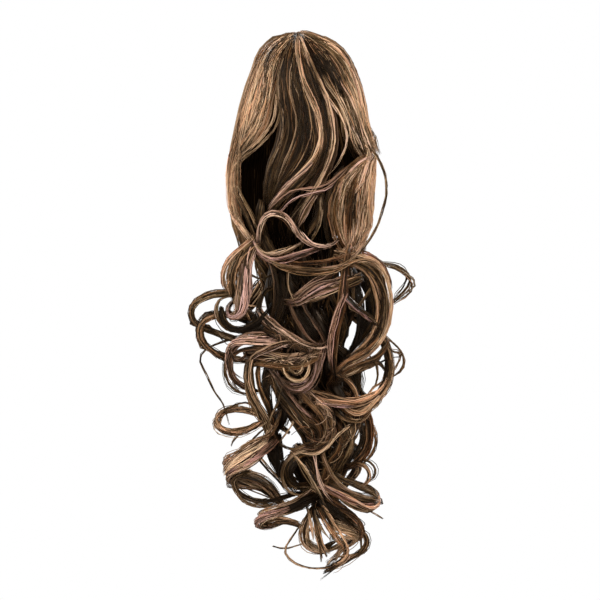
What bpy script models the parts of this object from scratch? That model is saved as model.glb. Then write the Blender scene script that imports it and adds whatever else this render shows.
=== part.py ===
"""Curled ponytail hairpiece on a claw clip: the clip, a combed crown of hair and a long tail of ringlets.

The origin is the middle of the clip's grip. +Z is up, the wearer's head is at +Y and the hair falls on the
-Y side.
Tables are in millimetres, and the objects are built in metres.
"""

import math
from collections import namedtuple

import bmesh
import bpy
import numpy as np
from mathutils import Vector
from mathutils.kdtree import KDTree

MM = 0.001

# The front view is charted in millimetres across and down its 600 mm square frame.
PARTING_ACROSS = 297.0
CLIP_DOWN = 95.0

# Gap between pieces that touch, and the height where the crown hands over to the tail
SEAT_GAP = 0.3
HANDOVER_DOWN = 239.0
LEAST_OVERHANG = 6.0
TOUCHING = 0.004
DRAWN_IN = 0.02
BIG = 400.0

# The exact solver loses faces where this many locks cross, and the manifold solver doesn't.
HAIR_SOLVER = "MANIFOLD"

# A lock is a flat five-sided tube that swells from its root and thins to its tip.
# Its flat side faces the way it bends or, where it runs straight, away from an axis a little behind the clip.
LOCK_SIDES = 5
LOCK_FULLNESS = 1.25
LONGEST_STEP = 55.0
LARGEST_TURN = 45.0
LEAST_RINGS = 4
CURVE_SHARE = 0.05
LOCK_ROOT = 0.7
LOCK_TIP = 0.4
SWOLLEN_BY = 0.2
THIN_FROM = 0.55
THINNING = 1.6
BEND_PULL = 900.0
OUTWARD_PULL = 0.35
AXIS_BEHIND = 8.0
PULL_SMOOTHINGS = 3

# Claw clip
CLIP_LENGTH = 78.0
CLIP_HALF_WIDTH = 22.0
CLIP_HINGE_FRONT = 21.0
CLIP_TIP_BACK = 20.0
CLIP_WALL = 2.8
HINGE_RADIUS = 4.2
HINGE_LENGTH = 46.0
HINGE_SIDES = 16
TAB_LENGTH = 9.0
TAB_HEIGHT = 26.0
TAB_LEAN = 35.0
TAB_SHARES = (0.0, 0.5, 1.0)
TAB_ASIDE = 1.5
TAB_SUNK = 1.0
TAB_NARROWING = 0.25
TEETH_PER_JAW = 6
TEETH_SPREAD = 0.86
TOOTH_STAGGER = 0.25
TOOTH_ROOT_ANGLE = 6.0
TOOTH_THINNING = 0.25
TOOTH_WIDTH = 6.4
TOOTH_TIP_WIDTH = 3.0
JAW_STEPS = 8
TOOTH_STEPS = 3
JAW_START_ANGLE = 4.0
JAW_END_ANGLE = 118.0
JAW_LEAST_RISE = 0.72
TOOTH_END_ANGLE = 165.0

# Outline of the crown: how far left and right it reaches in the front view and how far forward it stands
CrownRow = namedtuple("CrownRow", "down left right front")
CROWN_OUTLINE = (
    CrownRow(33, 294, 302, 4),
    CrownRow(36, 276, 322, 14),
    CrownRow(42, 266, 336, 27),
    CrownRow(52, 257, 347, 39),
    CrownRow(66, 252, 355, 48),
    CrownRow(84, 245, 362, 54),
    CrownRow(104, 239, 367, 58),
    CrownRow(126, 234, 370, 61),
    CrownRow(150, 229, 376, 63),
    CrownRow(175, 226, 375, 64),
    CrownRow(200, 228, 372, 63),
    CrownRow(222, 230, 368, 60),
    CrownRow(244, 240, 367, 56),
)
CROWN_ROUNDNESS = 2.2
CROWN_BACK = 24.0
CROWN_RIM_ANGLE = 140.0
CROWN_COLUMNS = 22
CROWN_LEVELS = (37, 42, 50, 61, 76, 96, 118, 140, 160, 180, 200, 220, 250)
FULL_HALF_WIDTH = 50.0
SIDE_FLATNESS = 0.9
DENT_ROUNDNESS = 1.5
CAVITY_COLUMNS = 20
# The combed locks lie on a backing of under hair, this far inside the outline.
BACKING_INSET = 8.2

# Dark hollows where the outer locks part and the under hair shows
Hollow = namedtuple("Hollow", "across down half_width half_height depth")
HOLLOWS = (
    Hollow(254, 178, 24, 46, 15),
    Hollow(352, 166, 24, 12, 9),
    Hollow(286, 232, 24, 16, 6),
    Hollow(322, 222, 12, 30, 7),
)

# Room inside the crown: the clip sits in its upper part and the head of the tail in its lower part.
CavityRow = namedtuple("CavityRow", "down half_width front back")
CAVITY = (
    CavityRow(49, 20, 21, 22),
    CavityRow(54, 22.9, 26, 23),
    CavityRow(66, 22.9, 32, 23),
    CavityRow(82, 22.9, 36, 23),
    CavityRow(138, 22.9, 36, 23),
    CavityRow(160, 27, 37, 24),
    CavityRow(200, 33, 38, 25),
    CavityRow(240, 36, 39, 27),
)
CAVITY_CENTRE_BACK = -2.0
CAVITY_LEVELS = (150, 160, 180, 200, 220, 260)
CLIP_ROOM_LEVELS = (49, 54, 66, 82, 110, 134)

# The tail's head is drawn together at its top, where it is sewn under the clip.
HEAD_TOP_SHARE = 0.5
HEAD_FULL_DOWN = 170.0

# Core of the tail: dark hair that the ringlets spring from
CoreRow = namedtuple("CoreRow", "down across half_width front back")
CORE = (
    CoreRow(232, 305, 35, 43, 27),
    CoreRow(262, 308, 34, 44, 32),
    CoreRow(300, 309, 37, 45, 36),
    CoreRow(340, 306, 38, 46, 36),
    CoreRow(375, 303, 35, 44, 34),
    CoreRow(405, 314, 32, 40, 30),
    CoreRow(435, 327, 27, 36, 26),
    CoreRow(465, 326, 24, 32, 22),
    CoreRow(492, 323, 18, 26, 18),
    CoreRow(514, 327, 9, 16, 10),
)
CORE_SIDES = 16
CORE_STEP = 22.0
CORE_WAVES = 4
CORE_WAVE_DEPTH = 0.11
CORE_WAVE_LENGTH = 150.0

# A combed lock lies on the crown: its way down the front view, lifted off the outline by some millimetres.
Combed = namedtuple("Combed", "name width thickness lift way")
COMBED_LOCKS = (
    Combed("left_edge", 17, 10, 0, (
        (290, 39), (274, 46), (263, 60), (256, 80), (249, 102), (243, 124), (239, 146),
        (234, 168), (233, 190), (235, 210), (241, 227), (249, 240), (258, 252))),
    Combed("left_fan_outer", 18, 9, 0, (
        (291, 38), (278, 48), (268, 66), (262, 88), (256, 110), (248, 130), (240, 148), (234, 166))),
    Combed("left_fan_inner", 17, 9, 1, (
        (293, 38), (283, 50), (275, 68), (270, 90), (266, 110), (259, 129), (249, 146), (239, 160))),
    Combed("centre_left_outer", 12, 9, 0, (
        (294, 38), (286, 52), (280, 76), (281, 102), (283, 126), (279, 150), (271, 170), (267, 190),
        (268, 208))),
    Combed("centre_left", 19, 9, 0, (
        (296, 38), (292, 56), (290, 80), (294, 104), (300, 126), (300, 146), (292, 164), (282, 180),
        (274, 198))),
    Combed("centre_light", 14, 9, 2, (
        (298, 39), (301, 60), (306, 82), (313, 103), (318, 124), (319, 145), (314, 164), (302, 179),
        (288, 191), (275, 204), (267, 216))),
    Combed("centre_right_light", 13, 9, 2, (
        (301, 39), (309, 58), (317, 80), (325, 100), (331, 120), (333, 142), (329, 162), (321, 180),
        (311, 196), (300, 211), (290, 224))),
    Combed("right_fan_inner", 18, 9, 1, (
        (303, 38), (315, 54), (328, 76), (339, 98), (346, 120), (349, 140), (347, 156))),
    Combed("right_fan_outer", 18, 9, 1, (
        (305, 37), (322, 48), (338, 68), (349, 90), (356, 112), (360, 134), (360, 152))),
    Combed("right_edge", 17, 10, 0, (
        (309, 38), (327, 44), (342, 56), (352, 74), (358, 94), (362, 114), (366, 134), (370, 152))),
    Combed("right_bulge_outer", 19, 11, 0, (
        (371, 150), (370, 170), (368, 192), (366, 212), (364, 232), (361, 248), (354, 262))),
    Combed("right_bulge_middle", 16, 10, 2, (
        (367, 156), (357, 176), (352, 196), (350, 216), (350, 236), (352, 254), (360, 266))),
    Combed("right_bulge_inner", 14, 10, 1, (
        (362, 160), (348, 174), (339, 190), (335, 208), (335, 228), (341, 246), (352, 260))),
    Combed("centre_under", 12, 7, -5, (
        (318, 182), (320, 200), (317, 218), (308, 236), (300, 252))),
    Combed("neck_left", 13, 8, -3, (
        (262, 200), (260, 218), (264, 236), (272, 254), (280, 272))),
)

# A charted lock gives its way through the air: across, down and forward of the clip's middle.
Charted = namedtuple("Charted", "name width thickness way")
CHARTED_LOCKS = (
    Charted("arch", 9, 7, (
        (260, 226, 50), (264, 217, 58), (274, 213, 64), (286, 217, 67), (294, 227, 68), (302, 238, 67),
        (312, 246, 66), (323, 248, 60), (322, 254, 50), (306, 257, 50), (288, 259, 52), (270, 263, 48))),
    Charted("left_bulge", 16, 11, (
        (262, 234, 34), (248, 247, 36), (237, 260, 38), (232, 275, 36), (233, 290, 30), (241, 306, 22),
        (258, 318, 14))),
    Charted("left_hook", 14, 8, (
        (252, 244, 42), (246, 262, 50), (243, 280, 54), (243, 298, 54), (243, 311, 52), (237, 319, 45),
        (230, 317, 36), (228, 308, 28), (236, 300, 18))),
    Charted("left_ring", 10, 6, (
        (250, 298, 22), (236, 295, 28), (222, 294, 34), (207, 297, 39), (195, 305, 40), (192, 315, 35),
        (198, 324, 29), (211, 330, 25), (226, 336, 25), (244, 342, 28), (262, 344, 30))),
    Charted("left_round", 6, 4.5, (
        (280, 288, 26), (268, 289, 31), (261, 299, 34), (257, 315, 36), (247, 327, 38), (234, 330, 40),
        (223, 324, 40), (218, 311, 38), (220, 300, 33), (230, 296, 26))),
    Charted("left_outer_bend", 12, 8, (
        (252, 322, 16), (234, 316, 20), (217, 314, 28), (204, 319, 34), (200, 330, 36), (203, 341, 33),
        (213, 351, 27), (226, 357, 22), (244, 360, 20), (262, 362, 22))),
    Charted("left_lower_bend", 13, 8, (
        (276, 334, 44), (260, 337, 50), (244, 340, 50), (234, 347, 46), (230, 359, 40), (231, 371, 34),
        (237, 381, 29), (248, 387, 26), (262, 392, 26))),
    Charted("left_run", 14, 10, (
        (276, 338, 34), (260, 348, 36), (251, 362, 38), (249, 379, 40), (253, 396, 42), (261, 411, 42),
        (270, 426, 38), (280, 440, 30), (300, 452, 22))),
    Charted("left_flat_ring", 9, 5, (
        (290, 432, 22), (276, 424, 16), (262, 416, 9), (248, 411, 4), (233, 410, 4), (221, 414, 10),
        (216, 421, 20), (221, 428, 31), (234, 431, 38), (249, 428, 40), (263, 421, 38), (278, 412, 32))),
    Charted("left_ribbon", 17, 6, (
        (312, 420, 26), (292, 428, 34), (272, 440, 42), (254, 450, 46), (238, 460, 42), (228, 468, 30),
        (230, 474, 15), (243, 478, 5), (258, 484, 1), (270, 492, 3), (280, 502, 8), (294, 508, 10),
        (310, 500, 8))),
    Charted("left_low_ring", 8, 5, (
        (250, 470, 26), (238, 473, 24), (234, 482, 23), (238, 491, 22), (248, 498, 20), (262, 501, 18),
        (278, 499, 16), (294, 494, 12), (312, 490, 8))),
    Charted("low_hook", 14, 7, (
        (318, 492, 12), (306, 499, 22), (292, 506, 29), (277, 511, 32), (265, 516, 29), (261, 521, 19),
        (268, 523, 10), (282, 521, 6), (297, 524, 6), (310, 530, 8), (322, 524, 8))),
    Charted("tip_ring", 10, 5, (
        (318, 500, 14), (311, 512, 17), (306, 525, 18), (305, 538, 17), (311, 548, 13), (323, 551, 8),
        (336, 547, 4), (348, 540, 0), (352, 528, -4))),
    Charted("tip_middle", 20, 10, (
        (322, 486, 4), (328, 504, 5), (332, 522, 5), (334, 540, 3))),
    Charted("tip_straight", 7, 5, (
        (316, 494, 18), (313, 508, 22), (317, 525, 24), (321, 542, 22), (327, 556, 18))),
    Charted("tip_flat", 19, 6, (
        (318, 494, 6), (330, 508, 12), (343, 518, 16), (355, 524, 16), (361, 531, 7), (355, 537, -4),
        (344, 543, -9), (346, 554, -8), (338, 563, -5), (327, 567, -3))),
    Charted("tip_tendril", 6, 4.5, (
        (346, 520, 18), (358, 528, 20), (366, 537, 17), (365, 546, 13), (354, 555, 9), (341, 564, 5),
        (330, 570, 2), (323, 574, 0))),
    Charted("right_low_ribbon", 13, 6, (
        (310, 474, 24), (322, 482, 34), (336, 489, 41), (352, 495, 43), (366, 500, 37), (375, 499, 26),
        (374, 491, 14), (362, 486, 6), (348, 482, 4), (334, 478, 2))),
    Charted("right_low_return", 9, 5, (
        (330, 488, 26), (344, 499, 33), (358, 506, 35), (369, 509, 29), (374, 505, 19), (366, 499, 10),
        (350, 494, 4))),
    Charted("right_main", 16, 13, (
        (334, 252, 42), (350, 257, 46), (364, 263, 46), (376, 273, 42), (382, 289, 36), (384, 306, 31),
        (382, 323, 29), (377, 339, 32), (367, 351, 37), (354, 360, 40), (338, 366, 40))),
    Charted("right_hook", 4.5, 3.5, (
        (352, 258, 38), (372, 262, 34), (388, 265, 28), (401, 269, 21), (409, 276, 14), (409, 284, 8),
        (403, 292, 5),
        (395, 299, 8), (389, 309, 14), (380, 322, 22))),
    Charted("right_small_hook", 6, 4.5, (
        (376, 330, 26), (386, 338, 24), (395, 345, 20), (402, 354, 16), (404, 363, 13), (398, 373, 11),
        (386, 379, 12))),
    Charted("right_back", 22, 16, (
        (346, 258, 8), (362, 274, 12), (370, 292, 14), (372, 310, 14), (366, 330, 12), (350, 350, 8))),
    Charted("right_low_fill", 20, 14, (
        (334, 346, 20), (348, 360, 22), (356, 376, 22), (355, 392, 20), (342, 408, 16))),
    Charted("right_ring_outer", 13, 9, (
        (372, 326, 22), (382, 340, 19), (387, 354, 15), (388, 369, 12), (386, 384, 15), (379, 396, 24),
        (367, 405, 34), (352, 411, 40), (336, 414, 40))),
    Charted("right_ring_inner", 9, 6, (
        (326, 376, 38), (340, 373, 42), (354, 369, 41), (367, 364, 35), (379, 362, 25), (385, 371, 15))),
    Charted("right_band", 12, 7, (
        (304, 390, 40), (318, 395, 48), (334, 400, 53), (351, 402, 52), (367, 399, 45), (380, 391, 33),
        (386, 380, 22))),
    Charted("right_lower_edge", 15, 12, (
        (338, 392, 14), (356, 402, 16), (366, 416, 17), (368, 432, 17), (366, 447, 18), (357, 461, 18),
        (338, 472, 14))),
    Charted("centre_vertical", 11, 8, (
        (350, 246, 46), (346, 262, 53), (343, 280, 58), (341, 297, 61), (338, 315, 61), (334, 333, 59),
        (332, 351, 57), (333, 368, 53), (336, 382, 44))),
    Charted("centre_cross", 13, 8, (
        (362, 276, 44), (350, 282, 54), (336, 287, 60), (320, 293, 62), (305, 299, 61), (292, 303, 56),
        (280, 300, 46))),
    Charted("right_diagonal", 7, 5, (
        (338, 288, 52), (344, 296, 58), (352, 305, 59), (362, 312, 55), (372, 319, 46), (380, 330, 36))),
    Charted("centre_swirl", 14, 9, (
        (258, 310, 34), (264, 320, 44), (273, 329, 53), (285, 337, 59), (299, 344, 61), (313, 348, 58),
        (326, 344, 48))),
    Charted("centre_band", 16, 9, (
        (244, 352, 34), (257, 355, 45), (272, 358, 54), (288, 360, 59), (304, 358, 59), (318, 350, 54),
        (330, 340, 46))),
    Charted("centre_bowl", 10, 8, (
        (322, 340, 44), (319, 354, 53), (316, 368, 58), (310, 381, 61), (300, 388, 62), (288, 385, 60),
        (278, 376, 55), (268, 364, 46))),
    Charted("centre_lower_run", 16, 10, (
        (268, 366, 38), (276, 382, 48), (285, 397, 54), (295, 411, 55), (306, 424, 51), (318, 436, 44),
        (328, 450, 34))),
    Charted("centre_lower_curl", 17, 10, (
        (296, 386, 40), (308, 394, 48), (321, 404, 54), (330, 417, 56), (331, 431, 54), (324, 442, 50),
        (312, 449, 44), (304, 456, 34))),
    Charted("lower_right_mass", 19, 11, (
        (356, 404, 28), (355, 421, 37), (348, 435, 44), (340, 449, 45), (332, 463, 43), (325, 478, 38),
        (322, 492, 28))),
    Charted("lower_strip", 8, 6, (
        (294, 444, 30), (300, 455, 37), (308, 466, 40), (315, 479, 40), (321, 491, 36), (332, 502, 28))),
    Charted("lower_ball", 16, 10, (
        (322, 444, 26), (308, 446, 33), (295, 453, 37), (288, 466, 37), (290, 479, 35), (301, 487, 31),
        (316, 486, 24))),
    Charted("lower_left_dark", 16, 10, (
        (284, 420, 22), (276, 436, 24), (274, 451, 24), (278, 466, 22), (286, 480, 18), (304, 492, 12))),
)

# A ringlet winds round a straight line: where it starts and ends, its coil radius, turns and first angle.
Ringlet = namedtuple("Ringlet", "name width thickness start end radius turns angle")
RINGLETS = (
    Ringlet("back_far_left", 20, 12, (260, 244, -8), (254, 342, -24), 12, 1.4, 200),
    Ringlet("back_left", 22, 13, (278, 240, -20), (280, 404, -38), 14, 1.9, 120),
    Ringlet("back_middle", 22, 13, (303, 240, -22), (314, 482, -36), 14, 2.7, 250),
    Ringlet("back_right", 22, 13, (328, 240, -20), (344, 450, -36), 14, 2.3, 80),
    Ringlet("back_far_right", 20, 12, (350, 242, -14), (362, 400, -28), 13, 2.0, 300),
    Ringlet("back_low_right", 16, 10, (344, 396, -16), (350, 494, -18), 11, 1.3, 40),
)
POINTS_PER_TURN = 8
COIL_ROOT = 0.35
COIL_OPENING = 1.3
NOT_ON_CROWN = {ringlet.name for ringlet in RINGLETS}

HAIR_SMOOTH_ANGLE = 50.0
CLIP_SMOOTH_ANGLE = 35.0


def clear_scene():
    for obj in list(bpy.data.objects):
        bpy.data.objects.remove(obj)


def finish_of(name, colour, roughness):
    """A plain Principled material."""
    material = bpy.data.materials.new(name)
    material.use_nodes = True
    shader = material.node_tree.nodes["Principled BSDF"]
    shader.inputs["Base Color"].default_value = (*colour, 1.0)
    shader.inputs["Roughness"].default_value = roughness
    shader.inputs["Metallic"].default_value = 0.0
    return material


def place(across, down, front):
    """A charted point in millimetres of the row frame."""
    return np.array([across - PARTING_ACROSS, -front, CLIP_DOWN - down], float)


def column(rows, field):
    return np.array([getattr(row, field) for row in rows], float)


def read_table(rows, field, down):
    """A field of a table at a height between its rows, eased so that the outline has no corners."""
    downs, values = column(rows, "down"), column(rows, field)
    slopes = np.gradient(values, downs)
    k = int(np.clip(np.searchsorted(downs, down) - 1, 0, len(downs) - 2))
    step = downs[k + 1] - downs[k]
    t = float(np.clip((down - downs[k]) / step, 0.0, 1.0))
    return hermite(values[k], values[k + 1], slopes[k] * step, slopes[k + 1] * step, t)


def straight_between(rows, field, down):
    return float(np.interp(down, column(rows, "down"), column(rows, field)))


def hermite(start, end, leave, arrive, t):
    return (
        (2 * t**3 - 3 * t**2 + 1) * start
        + (t**3 - 2 * t**2 + t) * leave
        + (3 * t**2 - 2 * t**3) * end
        + (t**3 - t**2) * arrive
    )


def smooth_way(points):
    """Evenly spaced points on a smooth curve through the given ones, closer together the more it turns."""
    points = np.array(points, float)
    spans = np.linalg.norm(np.diff(points, axis=0), axis=1)
    slopes = np.empty_like(points)
    ratios = np.diff(points, axis=0) / spans[:, None]
    slopes[0], slopes[-1] = ratios[0], ratios[-1]
    before, after = spans[:-1, None], spans[1:, None]
    slopes[1:-1] = (ratios[:-1] * after + ratios[1:] * before) / (before + after)
    fine = []
    for k, span in enumerate(spans):
        for t in np.arange(0.0, 1.0, CURVE_SHARE):
            fine.append(hermite(points[k], points[k + 1], slopes[k] * span, slopes[k + 1] * span, t))
    fine = np.array(fine + [points[-1]])
    run = np.concatenate([[0.0], np.cumsum(np.linalg.norm(np.diff(fine, axis=0), axis=1))])
    ahead = np.diff(fine, axis=0)
    ahead /= np.linalg.norm(ahead, axis=1)[:, None]
    turning = np.degrees(np.arccos(np.clip((ahead[:-1] * ahead[1:]).sum(axis=1), -1.0, 1.0))).sum()
    count = max(LEAST_RINGS, round(run[-1] / LONGEST_STEP + turning / LARGEST_TURN) + 1)
    wanted = np.linspace(0.0, run[-1], count)
    return np.column_stack([np.interp(wanted, run, fine[:, axis]) for axis in range(3)])


def flat_sides(points):
    """The direction a lock's flat side faces at each point: the way it bends, or outwards if it runs straight."""
    ahead = np.gradient(points, axis=0)
    tangents = ahead / np.linalg.norm(ahead, axis=1)[:, None]
    spacing = np.linalg.norm(np.diff(points, axis=0), axis=1).mean()
    bend = np.gradient(tangents, axis=0) / spacing
    outward = points * np.array([1.0, 1.0, 0.0]) + np.array([0.0, AXIS_BEHIND, 0.0])
    outward /= np.linalg.norm(outward, axis=1)[:, None]
    pulls = BEND_PULL * bend[:, :, None] * bend[:, None, :]
    pulls += OUTWARD_PULL * outward[:, :, None] * outward[:, None, :]
    for _ in range(PULL_SMOOTHINGS):
        padded = np.concatenate([pulls[:1], pulls, pulls[-1:]])
        pulls = (padded[:-2] + 2 * padded[1:-1] + padded[2:]) / 4
    normals = []
    for tangent, pull in zip(tangents, pulls):
        across = np.eye(3) - np.outer(tangent, tangent)
        normal = np.linalg.eigh(across @ pull @ across)[1][:, -1]
        if normals and normal @ normals[-1] < 0:
            normal = -normal
        normals.append(normal)
    normals = np.array(normals)
    return normals, np.cross(tangents, normals)


def fullness(share):
    """How wide a lock is along its way: it swells from the root and thins towards the tip."""
    swell = LOCK_ROOT + (1.0 - LOCK_ROOT) * math.sin(0.5 * math.pi * min(1.0, share / SWOLLEN_BY))
    thin = 1.0 - (1.0 - LOCK_TIP) * max(0.0, (share - THIN_FROM) / (1.0 - THIN_FROM)) ** THINNING
    return swell * thin


def lock_rings(points, width, thickness):
    """Cross sections of a lock: flat rounded rings square to its way."""
    normals, sideways = flat_sides(points)
    angles = np.arange(LOCK_SIDES) * 2 * math.pi / LOCK_SIDES
    rings = []
    for k, point in enumerate(points):
        share = k / (len(points) - 1)
        size = fullness(share)
        along = 0.5 * LOCK_FULLNESS * width * size * np.cos(angles)
        out = 0.5 * LOCK_FULLNESS * thickness * size / np.sin(angles).max() * np.sin(angles)
        rings.append(point + along[:, None] * sideways[k] + out[:, None] * normals[k])
    return rings


def loft(name, rings, collection=None):
    """A closed solid through rings of equal length, with flat ends."""
    mesh = bpy.data.meshes.new(name)
    bm = bmesh.new()
    rows = [[bm.verts.new(Vector(point) * MM) for point in ring] for ring in rings]
    for row, following in zip(rows, rows[1:]):
        for k in range(len(row)):
            after = (k + 1) % len(row)
            bm.faces.new((row[k], row[after], following[after], following[k]))
    bm.faces.new(rows[0])
    bm.faces.new(reversed(rows[-1]))
    return solid_object(name, mesh, bm, collection)


def solid_object(name, mesh, bm, collection=None):
    bmesh.ops.recalc_face_normals(bm, faces=bm.faces)
    if bm.calc_volume(signed=True) < 0:
        bmesh.ops.reverse_faces(bm, faces=bm.faces)
    bm.to_mesh(mesh)
    bm.free()
    obj = bpy.data.objects.new(name, mesh)
    (collection or bpy.context.scene.collection).objects.link(obj)
    return obj


def helpers(name):
    """A collection whose objects only shape others."""
    collection = bpy.data.collections.new(name)
    bpy.context.scene.collection.children.link(collection)
    return collection


def as_helper(obj):
    obj.hide_render = True
    obj.display_type = "WIRE"
    return obj


def join_all(obj, collection, solver):
    """Joins a solid with each helper of a collection in turn."""
    for helper in collection.objects:
        combine(obj, "UNION", helper, solver)


def combine(obj, operation, other, solver=HAIR_SOLVER):
    """Joins or cuts a solid with another object, and keeps the result as its mesh."""
    modifier = obj.modifiers.new(operation.lower(), "BOOLEAN")
    modifier.operation = operation
    modifier.solver = solver
    modifier.object = other
    graph = bpy.context.evaluated_depsgraph_get()
    made = bpy.data.meshes.new_from_object(obj.evaluated_get(graph))
    obj.modifiers.clear()
    obj.data = made


def keep_largest_shell(obj):
    """Drops any small shell that a join leaves sealed inside a solid or cuts loose from it."""
    bm = bmesh.new()
    bm.from_mesh(obj.data)
    unseen = set(bm.verts)
    shells = []
    while unseen:
        shell, front = set(), [next(iter(unseen))]
        while front:
            vert = front.pop()
            if vert in shell:
                continue
            shell.add(vert)
            front.extend(edge.other_vert(vert) for edge in vert.link_edges)
        unseen -= shell
        shells.append(shell)
    largest = max(shells, key=len)
    bmesh.ops.delete(bm, geom=[vert for vert in bm.verts if vert not in largest], context="VERTS")
    bm.to_mesh(obj.data)
    bm.free()


def draw_touching_points_apart(obj):
    """Moves points that joins leave in one place slightly into the solid, so that it never touches itself."""
    bm = bmesh.new()
    bm.from_mesh(obj.data)
    bm.normal_update()
    tree = KDTree(len(bm.verts))
    for vert in bm.verts:
        tree.insert(vert.co, vert.index)
    tree.balance()
    touching = [vert for vert in bm.verts if len(tree.find_range(vert.co, TOUCHING * MM)) > 1]
    for vert in touching:
        vert.co -= vert.normal * DRAWN_IN * MM
    bm.to_mesh(obj.data)
    bm.free()


def block(name, low, high):
    """A box between two corners in millimetres, used to cut."""
    bpy.ops.mesh.primitive_cube_add(size=1.0)
    obj = bpy.context.object
    obj.name = name
    obj.data.transform(bpy.context.object.matrix_world)
    for vert in obj.data.vertices:
        vert.co = [MM * (low[i] if vert.co[i] < 0 else high[i]) for i in range(3)]
    return as_helper(obj)


def crown_front(across, down):
    """How far forward the crown's outline stands at a point of the front view."""
    left, right = read_table(CROWN_OUTLINE, "left", down), read_table(CROWN_OUTLINE, "right", down)
    share = min(1.0, abs(across - 0.5 * (left + right)) / (0.5 * (right - left)))
    rounded = (1.0 - share**CROWN_ROUNDNESS) ** (1.0 / CROWN_ROUNDNESS)
    return read_table(CROWN_OUTLINE, "front", down) * rounded


def combed_way(lock):
    """A combed lock's points: its charted way, laid just under the crown's outline."""
    points = []
    for across, down in lock.way:
        front = crown_front(across, down) - 0.5 * lock.thickness + lock.lift
        points.append(place(across, down, max(front, 2.0)))
    return points


def ringlet_way(ringlet):
    """A ringlet's points: a coil round the line from its start to its end, opening out from its root."""
    start, end = place(*ringlet.start), place(*ringlet.end)
    count = round(ringlet.turns * POINTS_PER_TURN)
    points = []
    for k in range(count + 1):
        share = k / count
        angle = math.radians(ringlet.angle) + 2 * math.pi * ringlet.turns * share
        radius = ringlet.radius * min(1.0, COIL_ROOT + COIL_OPENING * share)
        turn = radius * np.array([math.cos(angle), math.sin(angle), 0.0])
        points.append(start + (end - start) * share + turn)
    return points


def all_locks():
    """Every lock as its name, points, width and thickness."""
    for lock in COMBED_LOCKS:
        yield lock.name, smooth_way(combed_way(lock)), lock.width, lock.thickness
    for lock in CHARTED_LOCKS:
        points = [place(*point) for point in lock.way]
        yield lock.name, smooth_way(points), lock.width, lock.thickness
    for lock in RINGLETS:
        yield lock.name, smooth_way(ringlet_way(lock)), lock.width, lock.thickness


def hollow_depth(across, down):
    """How deep the backing is dented at a point of the front view."""
    depth = 0.0
    for hollow in HOLLOWS:
        aside = (across - hollow.across) / hollow.half_width
        below = (down - hollow.down) / hollow.half_height
        away = math.hypot(aside, below)
        if away < 1.0:
            depth = max(depth, hollow.depth * (1.0 - away**2) ** DENT_ROUNDNESS)
    return depth


def backing_ring(down):
    """One level of the crown's backing of under hair, from the left rim round the front to the right rim."""
    left, right = read_table(CROWN_OUTLINE, "left", down), read_table(CROWN_OUTLINE, "right", down)
    middle, half = 0.5 * (left + right), 0.5 * (right - left)
    front = read_table(CROWN_OUTLINE, "front", down)
    share = min(1.0, half / FULL_HALF_WIDTH)
    inset = BACKING_INSET * share
    ring = []
    for angle in np.radians(np.linspace(-CROWN_RIM_ANGLE, CROWN_RIM_ANGLE, CROWN_COLUMNS)):
        across = middle + (half - inset) * math.sin(angle)
        if abs(angle) > math.pi / 2:
            reach = math.cos(angle) * CROWN_BACK * share
        else:
            reach = (front - inset) * math.cos(angle) ** SIDE_FLATNESS
            reach -= hollow_depth(across, down) * math.cos(angle)
        ring.append(place(across, down, reach))
    return ring


def cavity_ring(down, gap, share=1.0):
    """One level of the room inside the crown, drawn in by a gap and to a share of its size."""
    half = straight_between(CAVITY, "half_width", down) - gap
    front = straight_between(CAVITY, "front", down) - gap
    back = straight_between(CAVITY, "back", down) - gap
    ring = []
    for angle in np.arange(CAVITY_COLUMNS) * 2 * math.pi / CAVITY_COLUMNS:
        depth = front if math.cos(angle) > 0 else back
        across = share * half * math.sin(angle)
        reach = CAVITY_CENTRE_BACK + share * (depth + CAVITY_CENTRE_BACK) * math.cos(angle)
        ring.append(np.array([across, -reach, CLIP_DOWN - down]))
    return ring


def head_ring(down):
    """One level of the tail's head, which opens out to fill the room."""
    share = float(np.interp(down, (CLIP_DOWN + CLIP_LENGTH / 2, HEAD_FULL_DOWN), (HEAD_TOP_SHARE, 1.0)))
    return cavity_ring(down, SEAT_GAP, share)


def crown_backing():
    """The under hair of the crown: a rounded cap, still solid inside."""
    return loft("crown_hair", [backing_ring(down) for down in CROWN_LEVELS])


def hair_lock(name, points, width, thickness, collection):
    return as_helper(loft(name, lock_rings(points, width, thickness), collection))


def make_crown(material):
    """Crown: the backing and its locks fused, cut off at the handover and hollowed for the clip and the tail."""
    crown = crown_backing()
    handover = CLIP_DOWN - HANDOVER_DOWN
    locks = helpers("crown_locks")
    for name, points, width, thickness in all_locks():
        if points[:, 2].max() > handover + LEAST_OVERHANG and name not in NOT_ON_CROWN:
            hair_lock(name + "_upper", points, width, thickness, locks)
    join_all(crown, locks, HAIR_SOLVER)
    below = block("below_crown", (-BIG, -BIG, -BIG), (BIG, BIG, handover + 0.5 * SEAT_GAP))
    combine(crown, "DIFFERENCE", below)
    levels = CLIP_ROOM_LEVELS + CAVITY_LEVELS
    room = as_helper(loft("crown_room", [cavity_ring(down, 0.0) for down in levels]))
    combine(crown, "DIFFERENCE", room)
    keep_largest_shell(crown)
    draw_touching_points_apart(crown)
    crown.data.materials.clear()
    crown.data.materials.append(material)
    return crown


def core_ring(down):
    """One level of the tail's core: waves of hair that wind slowly round it."""
    across, half, front, back = (straight_between(CORE, field, down) for field in CORE[0]._fields[1:])
    ring = []
    for angle in np.arange(CORE_SIDES) * 2 * math.pi / CORE_SIDES:
        wave = 1.0 + CORE_WAVE_DEPTH * math.cos(CORE_WAVES * angle + 2 * math.pi * down / CORE_WAVE_LENGTH)
        reach = front if math.cos(angle) > 0 else back
        ring.append(place(across + half * wave * math.sin(angle), down, reach * wave * math.cos(angle)))
    return ring


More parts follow.
